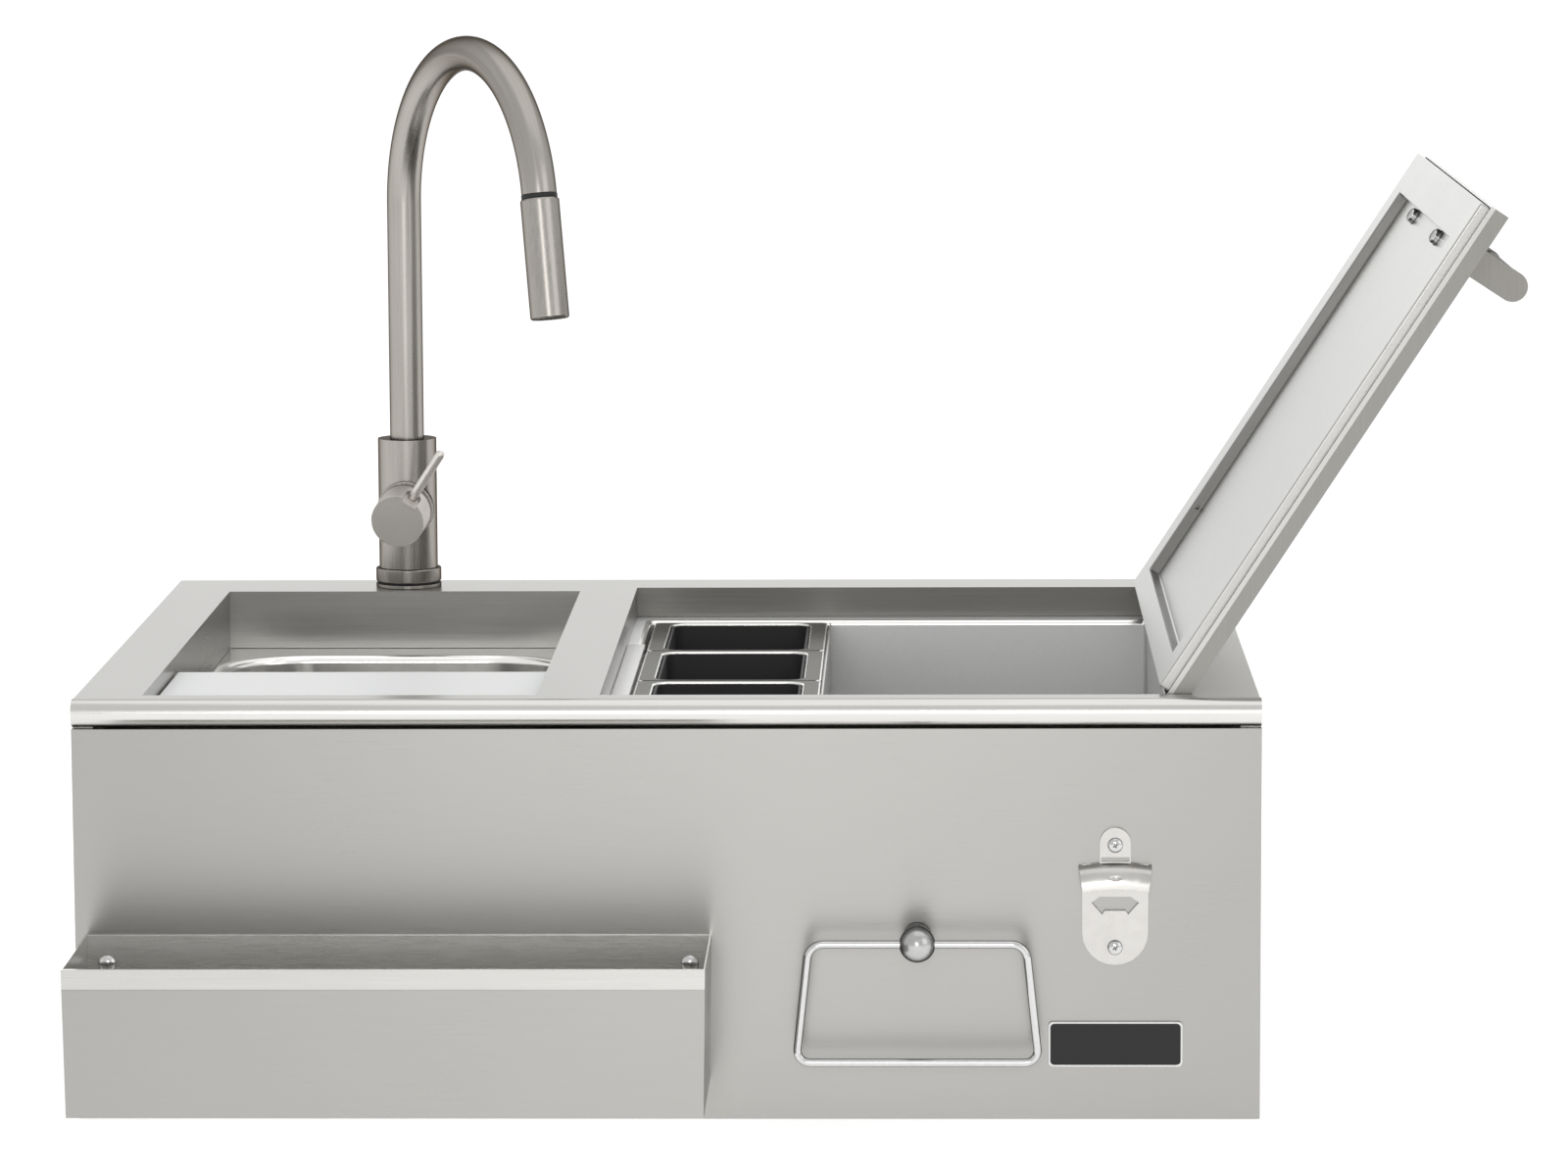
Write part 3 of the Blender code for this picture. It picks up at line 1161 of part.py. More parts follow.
def valve(steel, dull):
    turn_at = FAUCET + Vector((0, -VALVE_PIVOT, VALVE_HEIGHT))
    turn = empty("valve_turn", turn_at)
    to_back = VALVE_PIVOT - STEM_BACK
    to_collar = VALVE_PIVOT - COLLAR_REACH + GAP
    stem = COLLAR_BORE - GAP
    neck_angle = math.asin(to_collar / DOME_RADIUS)
    angles = [neck_angle + (math.pi / 2 + neck_angle) * n / ARC_STEPS for n in range(ARC_STEPS)]
    turns = [a - 2 * neck_angle for a in angles]
    dome = [(DOME_RADIUS * math.cos(a), DOME_RADIUS * math.sin(a)) for a in turns]
    profile = [(0, -to_back), (stem, -to_back), (stem, -to_collar)] + dome + [(0, DOME_RADIUS)]
    finish("valve_stem", along(turned(profile), (0, 0, 0), (0, -1, 0)), dull, turn)

    swing = math.radians(CAP_TURN_DEG)
    lever_way = Vector((math.sin(swing), 0, math.cos(swing)))
    hinge_axis = Vector((0, -1, 0)).cross(lever_way)
    lean = Matrix.Rotation(-math.radians(CAP_TILT_DEG), 4, hinge_axis)
    tilt = empty("valve_tilt", Vector((0, 0, 0)), lean, turn)
    quarter = [math.pi / 2 * n / ARC_STEPS for n in range(1, ARC_STEPS)]
    cavity = [(CAP_CAVITY * math.sin(a), CAP_CAVITY * math.cos(a)) for a in quarter]
    bevel = CAP_BEVEL
    outside = [(CAP_CAVITY, 0), (CAP_RADIUS, 0), (CAP_RADIUS, CAP_LENGTH - bevel),
               (CAP_RADIUS - bevel, CAP_LENGTH), (0, CAP_LENGTH)]
    profile = [(0, CAP_CAVITY)] + cavity + outside
    cap = finish("valve_cap", along(turned(profile, FINE_SIDES), (0, 0, 0), (0, -1, 0)), steel, tilt)

    across = lever_way.cross(Vector((0, -1, 0)))
    half = CAP_SLOT_WIDTH / 2
    floor = CAP_RADIUS - CAP_SLOT_DEPTH
    roof = CAP_RADIUS + OVERRUN
    outline = [(-half, floor), (half, floor), (half, roof), (-half, roof)]
    start = Vector((0, -CAP_SLOT_BACK, 0))
    combine(cap, prism(outline, start, across, lever_way, CAP_LENGTH), "DIFFERENCE")

    root, tip = LEVER_ROOT, LEVER_TIP - LEVER_RADIUS
    turns = (math.pi / 6, math.pi / 3)
    dome = [(LEVER_RADIUS * math.cos(a), tip + LEVER_RADIUS * math.sin(a)) for a in turns]
    profile = [(0, root), (LEVER_RADIUS, root), (LEVER_RADIUS, tip)] + dome + [(0, LEVER_TIP)]
    place = Vector((0, -LEVER_PLACE, 0))
    finish("valve_lever", along(turned(profile, FEW_SIDES), place, lever_way), steel, tilt)


def rail_span():
    """The speed rail's outer corners at its top edge."""
    x0 = RAIL_LEFT
    y1 = APRON_Y - GAP
    top = HEIGHT - RAIL_TOP_DROP
    return (x0, FRONT - RAIL_REACH, top - RAIL_HEIGHT), (x0 + RAIL_WIDTH, y1, top)


def rail_bolt_places():
    (x0, _, _), (x1, _, top) = rail_span()
    return [(x, top - RAIL_BOLT_DROP) for x in (x0 + RAIL_BOLT_INSET, x1 - RAIL_BOLT_INSET)]


def speed_rail(steel, chrome):
    (x0, y0, z0), (x1, y1, z1) = rail_span()
    wall = SHEET
    xs = [x0, x0 + wall, x1 - wall, x1]
    ys = [y0, y0 + wall, y0 + 2 * wall, y1 - 2 * wall, y1 - wall, y1]
    zs = [z0, z0 + wall, z1 - RAIL_HEM, z1]

    def filled(x, y, z):
        if z < z0 + wall or x < x0 + wall or x > x1 - wall or y < y0 + wall or y > y1 - wall:
            return True
        return z > z1 - RAIL_HEM and y < y0 + 2 * wall

    shape = cells(xs, ys, zs, filled)
    middle, half = (x0 + x1) / 2, (x1 - x0) / 2
    for vert in shape.verts:
        drop = (z1 - vert.co.z) / (z1 - z0)
        vert.co.x -= (vert.co.x - middle) / half * RAIL_TAPER * drop

    def front_corner(a, b):
        tall = abs(a.z - b.z) > wall and min(abs(a.x - middle), abs(b.x - middle)) > half - RAIL_TAPER - GAP
        return tall and max(a.y, b.y) < y0 + GAP

    bend(shape, RAIL_BEND, front_corner)
    made = finish("speed_rail", shape, steel)
    for side, (x, z) in zip(("left", "right"), rail_bolt_places()):
        hole = rod(BOLT_SHANK_RADIUS + HOLE_CLEARANCE, Vector((x, y1 - wall - OVERRUN, z)), (0, 1, 0),
                   wall + 2 * OVERRUN, FEW_SIDES)
        combine(made, hole, "DIFFERENCE")
        place = Vector((x, y1 - wall - GAP, z))
        finish(f"rail_bolt_{side}",
               along(dome_screw(BOLT_HEAD_RADIUS, BOLT_HEAD_HEIGHT, BOLT_SHANK_RADIUS, BOLT_SHANK_LENGTH),
                     place, (0, -1, 0)), chrome)


def dome_screw(head_radius, head_height, shank_radius, shank_length):
    """A domed head on a plain shank, its seat at zero."""
    arc = [(head_radius * math.cos(a), head_height * math.sin(a)) for a in (0, math.pi / 6, math.pi / 3)]
    shank = [(0, -shank_length), (shank_radius, -shank_length), (shank_radius, 0)]
    profile = shank + arc + [(0, head_height)]
    return turned(profile, FEW_SIDES)


def towel_ring(steel):
    middle = Vector((RING_X, APRON_Y - BALL_REACH, HEIGHT - RING_DROP))
    base = BALL_REACH - GAP
    stem = POST_STEM_RADIUS
    neck = math.asin(stem / BALL_RADIUS)
    turns = [neck + (math.pi - neck) * n / (2 * ARC_STEPS) for n in range(2 * ARC_STEPS)]
    ball = [(BALL_RADIUS * math.sin(a), -BALL_RADIUS * math.cos(a)) for a in turns]
    profile = [(0, -base), (POST_FOOT_RADIUS, -base), (POST_FOOT_RADIUS, -base + POST_FOOT_HEIGHT),
               (stem, -base + POST_FOOT_HEIGHT)] + ball + [(0, BALL_RADIUS)]
    post = finish("ring_post", along(turned(profile, SIDES), middle, (0, -1, 0)), steel)
    bore = WIRE_RADIUS + WIRE_CLEARANCE
    combine(post, rod(bore, middle - Vector((BALL_RADIUS + OVERRUN, 0, 0)), (1, 0, 0),
                      2 * (BALL_RADIUS + OVERRUN), FEW_SIDES), "DIFFERENCE")

    swing = empty("ring_swing", middle)
    top, foot = RING_TOP_WIDTH / 2, RING_BOTTOM_WIDTH / 2
    corners = [Vector((-top, 0, 0)), Vector((top, 0, 0)),
               Vector((foot, 0, -RING_FALL)), Vector((-foot, 0, -RING_FALL))]
    path = []
    for n, corner in enumerate(corners):
        before = (corners[n - 1] - corner).normalized()
        after = (corners[(n + 1) % 4] - corner).normalized()
        half_angle = before.angle(after) / 2
        start = corner + before * (RING_CORNER / math.tan(half_angle))
        centre = corner + (before + after).normalized() * (RING_CORNER / math.sin(half_angle))
        sweep = math.pi - 2 * half_angle
        spoke = start - centre
        for k in range(RING_CORNER_STEPS + 1):
            path.append(centre + Matrix.Rotation(sweep * k / RING_CORNER_STEPS, 3, (0, 1, 0)) @ spoke)
    finish("towel_ring", skin(loop_rings(path, WIRE_RADIUS, WIRE_SIDES), closed=True), steel, swing)


def loop_rings(path, radius, sides):
    """Rings square to a closed path in the XZ plane."""
    rings = []
    count = len(path)
    for n, point in enumerate(path):
        ahead = (path[(n + 1) % count] - path[n - 1]).normalized()
        side = ahead.cross(Vector((0, 1, 0)))
        turns = [2 * math.pi * k / sides for k in range(sides)]
        rings.append([point + radius * (math.cos(a) * side + math.sin(a) * Vector((0, 1, 0)))
                      for a in turns])
    return rings


def opener_screw_heights():
    top = HEIGHT - OPENER_TOP_DROP
    return [top - OPENER_UPPER_SCREW_DROP, top - OPENER_LOWER_SCREW_DROP]


def bottle_opener(steel, chrome):
    top = HEIGHT - OPENER_TOP_DROP
    face = APRON_Y - GAP
    tab, body = OPENER_TAB_WIDTH / 2, OPENER_BODY_WIDTH / 2
    shoulder = -OPENER_SHOULDER_DROP
    arc = [math.pi / 2 * n / ARC_STEPS for n in range(ARC_STEPS + 1)]
    upper = [(tab * math.cos(a), -tab + tab * math.sin(a)) for a in arc]
    lower = [(body * math.cos(a), -OPENER_HEIGHT + body - body * math.sin(a)) for a in arc]
    right = upper[::-1] + [(tab, shoulder), (body, shoulder)] + lower
    outline = right + [(-a, b) for a, b in right[-2:0:-1]]
    place = Vector((OPENER_X, face, top))
    made = finish("bottle_opener", prism(outline, place, (1, 0, 0), (0, 0, 1), OPENER_PLATE), steel)
    combine(made, opener_hood(Vector((OPENER_X, face - OPENER_PLATE / 2, top))), "UNION")
    for hole in (opener_slot(), opener_window()):
        start = Vector((OPENER_X, face + OVERRUN, top))
        combine(made, prism(hole, start, (1, 0, 0), (0, 0, 1), OPENER_PLATE + 2 * OVERRUN), "DIFFERENCE")
    for name, z in zip(("upper", "lower"), opener_screw_heights()):
        hole = rod(SCREW_SHANK_RADIUS + HOLE_CLEARANCE, Vector((OPENER_X, face - OPENER_PLATE - OVERRUN, z)),
                   (0, 1, 0), OPENER_PLATE + 2 * OVERRUN, FEW_SIDES)
        combine(made, hole, "DIFFERENCE")
        place = Vector((OPENER_X, face - OPENER_PLATE - GAP, z))
        screw = dome_screw(SCREW_HEAD_RADIUS, SCREW_HEAD_HEIGHT, SCREW_SHANK_RADIUS, SCREW_SHANK_LENGTH)
        finish(f"opener_screw_{name}", along(screw, place, (0, -1, 0)), chrome)


def opener_slot():
    """The cap slot: slanted shoulders, two pointed lower corners and a tooth between them."""
    half, foot, tooth = OPENER_SLOT_WIDTH / 2, OPENER_SLOT_FOOT / 2, OPENER_TOOTH_WIDTH / 2
    top = -OPENER_SLOT_DROP
    low = top - OPENER_SLOT_HEIGHT
    right = [(half - OPENER_SLOT_SLANT, top), (half, top - OPENER_SLOT_SHOULDER), (foot, low),
             (tooth, low + OPENER_TOOTH)]
    return right + [(-a, b) for a, b in right[::-1]]


def opener_window():
    """The narrow window between the upper tab and the hood."""
    half, top = OPENER_WINDOW_WIDTH / 2, -OPENER_WINDOW_DROP
    low = top - OPENER_WINDOW_HEIGHT
    return [(half, top), (half, low), (-half, low), (-half, top)]


def opener_hood(place):
    """The jaw: it leaves the plate at its top, curves out and down, and ends in a free arched edge."""
    turns = [math.pi / 2 * n / OPENER_HOOD_STEPS for n in range(OPENER_HOOD_STEPS + 1)]
    foot = -OPENER_HOOD_DROP - OPENER_HOOD_HEIGHT
    rings = []
    for n in range(2 * OPENER_HOOD_STEPS + 1):
        across = n / OPENER_HOOD_STEPS - 1
        ring = []
        for thick, order in ((0, turns), (OPENER_PLATE, turns[::-1])):
            for a in order:
                narrowing = (OPENER_HOOD_FOOT_WIDTH - OPENER_HOOD_TOP_WIDTH) * (1 - math.cos(a))
                half = (OPENER_HOOD_TOP_WIDTH + narrowing) / 2
                out = (OPENER_HOOD_REACH + thick) * math.sin(a)
                rise = foot + (OPENER_HOOD_HEIGHT + thick) * math.cos(a) - OPENER_HOOD_ARCH * across ** 2
                ring.append(place + Vector((across * half, -out, rise)))
        rings.append(ring)
    return skin(rings)


def name_plate(look):
    place = Vector((BADGE_X, APRON_Y - GAP, HEIGHT - BADGE_DROP))
    ring = rounded((0, 0), BADGE_WIDTH / 2, BADGE_HEIGHT / 2, BADGE_CORNER, 0)
    outline = [(p.x, p.y) for p in ring]
    return finish("name_plate", prism(outline, place, (1, 0, 0), (0, 0, 1), BADGE_THICKNESS), look)


def main():
    for old in list(bpy.data.objects):
        bpy.data.objects.remove(old)
    brushed = material("brushed_stainless", (0.56, 0.55, 0.53), 0.32, 1)
    satin = material("satin_stainless", (0.50, 0.49, 0.47), 0.28, 1)
    drawn = material("drawn_stainless", (0.60, 0.59, 0.57), 0.18, 1)
    chrome = material("bright_chrome", (0.75, 0.75, 0.76), 0.08, 1)
    zinc = material("zinc_plate", (0.42, 0.43, 0.44), 0.45, 1)
    black = material("black_plastic", (0.02, 0.02, 0.02), 0.5, 0)
    rubber = material("black_rubber", (0.015, 0.015, 0.015), 0.7, 0)
    white = material("white_polyethylene", (0.81, 0.81, 0.80), 0.45, 0)
    foam = material("rigid_foam", (0.70, 0.66, 0.50), 0.9, 0)
    enamel = material("black_enamel", (0.02, 0.02, 0.02), 0.25, 0)

    deck(brushed)
    apron(brushed)
    side_panel("side_panel_left", -1, zinc)
    side_panel("side_panel_right", 1, zinc)
    rear_panel(zinc)
    base_panel(zinc)
    sink(drawn, zinc)
    board(brushed, white)
    ice_bin(drawn, foam, zinc)
    pans(drawn, black)
    pan_rail(brushed)
    divider(brushed)
    lid(brushed, satin, chrome)
    faucet_foot(satin, rubber, zinc)
    faucet_body(satin)
    spout(satin, black)
    spray_head(satin, rubber)
    valve(satin, chrome)
    speed_rail(brushed, chrome)
    towel_ring(chrome)
    bottle_opener(chrome, chrome)
    name_plate(enamel)


main()
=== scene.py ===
"""The looks of an outdoor refreshment center in stainless sheet: sink, ice bin and bar front."""

import json
import math

import bmesh
import bpy
from mathutils import Matrix, Vector

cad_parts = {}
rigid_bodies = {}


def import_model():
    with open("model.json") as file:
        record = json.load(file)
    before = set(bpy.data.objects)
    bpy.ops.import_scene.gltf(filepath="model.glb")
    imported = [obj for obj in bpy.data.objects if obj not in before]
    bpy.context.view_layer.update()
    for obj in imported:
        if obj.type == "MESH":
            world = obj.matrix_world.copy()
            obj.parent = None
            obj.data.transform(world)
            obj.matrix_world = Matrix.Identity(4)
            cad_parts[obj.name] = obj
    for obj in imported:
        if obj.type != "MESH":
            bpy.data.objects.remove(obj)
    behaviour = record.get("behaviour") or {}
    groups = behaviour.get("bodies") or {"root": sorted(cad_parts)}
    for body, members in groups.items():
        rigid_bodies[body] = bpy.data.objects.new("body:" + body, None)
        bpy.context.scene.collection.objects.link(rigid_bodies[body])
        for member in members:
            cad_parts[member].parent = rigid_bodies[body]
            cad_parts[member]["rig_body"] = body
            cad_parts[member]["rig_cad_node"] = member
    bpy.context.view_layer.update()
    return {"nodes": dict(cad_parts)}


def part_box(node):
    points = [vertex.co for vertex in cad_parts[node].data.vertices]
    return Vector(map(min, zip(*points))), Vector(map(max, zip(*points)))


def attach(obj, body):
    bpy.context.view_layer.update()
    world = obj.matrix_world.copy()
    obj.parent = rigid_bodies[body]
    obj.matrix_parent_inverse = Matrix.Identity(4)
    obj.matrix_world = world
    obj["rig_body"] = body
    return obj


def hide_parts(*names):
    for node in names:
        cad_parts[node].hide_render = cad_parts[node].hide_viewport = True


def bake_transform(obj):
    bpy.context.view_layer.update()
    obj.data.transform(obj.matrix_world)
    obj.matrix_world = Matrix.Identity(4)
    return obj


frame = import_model()

bl_info = {
    "name": "Outdoor refreshment center",
    "version": (1, 0, 0),
    "blender": (4, 5, 0),
    "location": "3D View > Sidebar > Bar unit",
    "description": "Dresses the packed bar unit in its sheet metal, fittings and finishes",
    "category": "Object",
}

MM = 0.001
ROUND = 96
SMALL_ROUND = 48
UP = Vector((0, 0, 1))
FORWARD = Vector((0, -1, 0))
# Turned pieces close on a circle of this radius at their ends
TIP = 0.0001
# A unit normal with a part above this lies flat along an axis
FLAT = 0.985
# Greatest angles in degrees that are still shaded smooth, on folded sheet and on round pieces
SHEET_TURN, ROUND_TURN = 32, 40
# Places that are nearer to each other than this count as one
NEAR = MM / 10
# How far a cutting tool reaches beyond the piece
OVERRUN = 0.01

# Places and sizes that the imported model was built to
GAP = 0.0003
SHEET = 0.0012
UNIT_LEFT, UNIT_FRONT, UNIT_TOP = -0.397, -0.3015, 0.285
APRON_FACE = UNIT_FRONT + 0.004
OPENING_FRONT = UNIT_FRONT + 0.0245
SINK_LEFT, SINK_RIGHT = UNIT_LEFT + 0.0455, UNIT_LEFT + 0.3102
SINK_BACK = OPENING_FRONT + 0.5132
BOWL_FRONT = OPENING_FRONT + 0.012
BACK_LEDGE = 0.039
BOWL_TOP = UNIT_TOP - 0.0433
BOWL_FLOOR = BOWL_TOP - 0.130
DRAIN = Vector(((SINK_LEFT + SINK_RIGHT) / 2, (BOWL_FRONT + SINK_BACK - BACK_LEDGE) / 2, 0))

# The closed lid, measured from its hinge, and the turn that opens it
HINGE = Vector((0.3442, 0, 0.2813))
LID_TURN = Matrix.Translation(HINGE) @ Matrix.Rotation(math.radians(123.2), 4, "Y")
LID_FREE, LID_HINGED = -0.3863, 0.0047
LID_FRONT, LID_BACK = -0.2745, 0.2523
LID_TOP = 0.0037
LID_FOOT = LID_TOP - 0.0204
LID_SKIRT = 0.0135
LID_RECESS = 0.008
HANDLE_X, HANDLE_Y = 0.0007 - 0.3474, -0.0111
HANDLE_RISE = LID_TOP + 0.0485
HANDLE_REACH = 0.098

# The faucet, measured from the middle of its foot
FAUCET = Vector((-0.2187, 0.2688, UNIT_TOP))
FAUCET_BORE = 0.0131
BODY_FOOT = 0.0149
BODY_TOP = BODY_FOOT + 0.098
COLLAR_RISE = 0.061
NECK_RISE = 0.2908
NECK_BEND = 0.1168
NECK_AHEAD = Vector((math.cos(math.radians(60.3)), -math.sin(math.radians(60.3)), 0))
NECK_SWEEP = math.radians(180 - 10.1)
HEAD_FOOT, HEAD_END = 0.0035, 0.0904


# Colours and finishes

def linear(code):
    """Turn an sRGB hex colour into the linear values that Blender works in."""
    shades = [int(code[n:n + 2], 16) / 255 for n in (1, 3, 5)]
    return (*[s / 12.92 if s <= 0.04045 else ((s + 0.055) / 1.055) ** 2.4 for s in shades], 1)


def add(tree, kind, values=None, **settings):
    """Add a node, set its own settings, then link or set its inputs."""
    made = tree.nodes.new(kind)
    for key, value in settings.items():
        setattr(made, key, value)
    for key, value in (values or {}).items():
        if isinstance(value, bpy.types.NodeSocket):
            tree.links.new(value, made.inputs[key])
        else:
            made.inputs[key].default_value = value
    return made


def grained(name, dark, light, gloss, grain, relief, cloud=9, metal=1, edge=None,
            lines_along=None, follows=None, inputs=None):
    """A surface whose tone, gloss and relief follow one grain, with slow clouding over it.

    gloss is the least and most roughness and grain the lines or specks per metre, one
    number or one each along X, Y and Z. relief is the height of the grain in millimetres
    and cloud the patches per metre. edge tints what the metal mirrors at a glancing angle,
    lines_along is the axis that brushed lines run along, follows the attribute that a bent
    piece keeps its unbent place in, and inputs sets the shader's other inputs.
    """
    made = bpy.data.materials.new(name)
    made.use_nodes = True
    tree = made.node_tree
    shader = tree.nodes["Principled BSDF"]
    if follows:
        where = add(tree, "ShaderNodeAttribute", attribute_name=follows).outputs["Vector"]
    else:
        where = add(tree, "ShaderNodeTexCoord").outputs["Object"]
    scale = grain if isinstance(grain, tuple) else (grain, grain, grain)
    lined = add(tree, "ShaderNodeMapping", {"Vector": where, "Scale": scale})
    lines = add(tree, "ShaderNodeTexNoise",
                {"Vector": lined.outputs[0], "Scale": 1, "Detail": 2.5}).outputs["Fac"]
    patches = add(tree, "ShaderNodeTexNoise", {"Vector": where, "Scale": cloud, "Detail": 2})
    tone = add(tree, "ShaderNodeMath", {0: lines, 1: 0.6}, operation="MULTIPLY")
    tone = add(tree, "ShaderNodeMath", {0: patches.outputs["Fac"], 1: 0.4, 2: tone.outputs[0]},
               operation="MULTIPLY_ADD").outputs[0]
    spread = add(tree, "ShaderNodeMapRange", {"Value": tone, 1: 0.33, 2: 0.67})
    # The mix node's colour sockets are its sixth and seventh
    colour = add(tree, "ShaderNodeMix",
                 {0: spread.outputs[0], 6: linear(dark), 7: linear(light)}, data_type="RGBA")
    rough = add(tree, "ShaderNodeMapRange",
                {"Value": tone, 1: 0.3, 2: 0.7, 3: gloss[0], 4: gloss[1]})
    bump = add(tree, "ShaderNodeBump", {"Height": lines, "Strength": 1, "Distance": relief * MM})
    tree.links.new(colour.outputs[2], shader.inputs["Base Color"])
    tree.links.new(rough.outputs[0], shader.inputs["Roughness"])
    tree.links.new(bump.outputs[0], shader.inputs["Normal"])
    for key, value in {"Metallic": metal, **(inputs or {})}.items():
        shader.inputs[key].default_value = value
    # A dark edge tint is painted shade, darkening what the metal mirrors at its rims
    if edge:
        shader.inputs["Specular Tint"].default_value = linear(edge)
    if lines_along:
        # Brushing spreads a mirrored light across its lines and keeps it narrow along them
        sweep = add(tree, "ShaderNodeTangent", direction_type="RADIAL", axis=lines_along)
        tree.links.new(sweep.outputs[0], shader.inputs["Tangent"])
        shader.inputs["Anisotropic"].default_value = 0.7
    return made


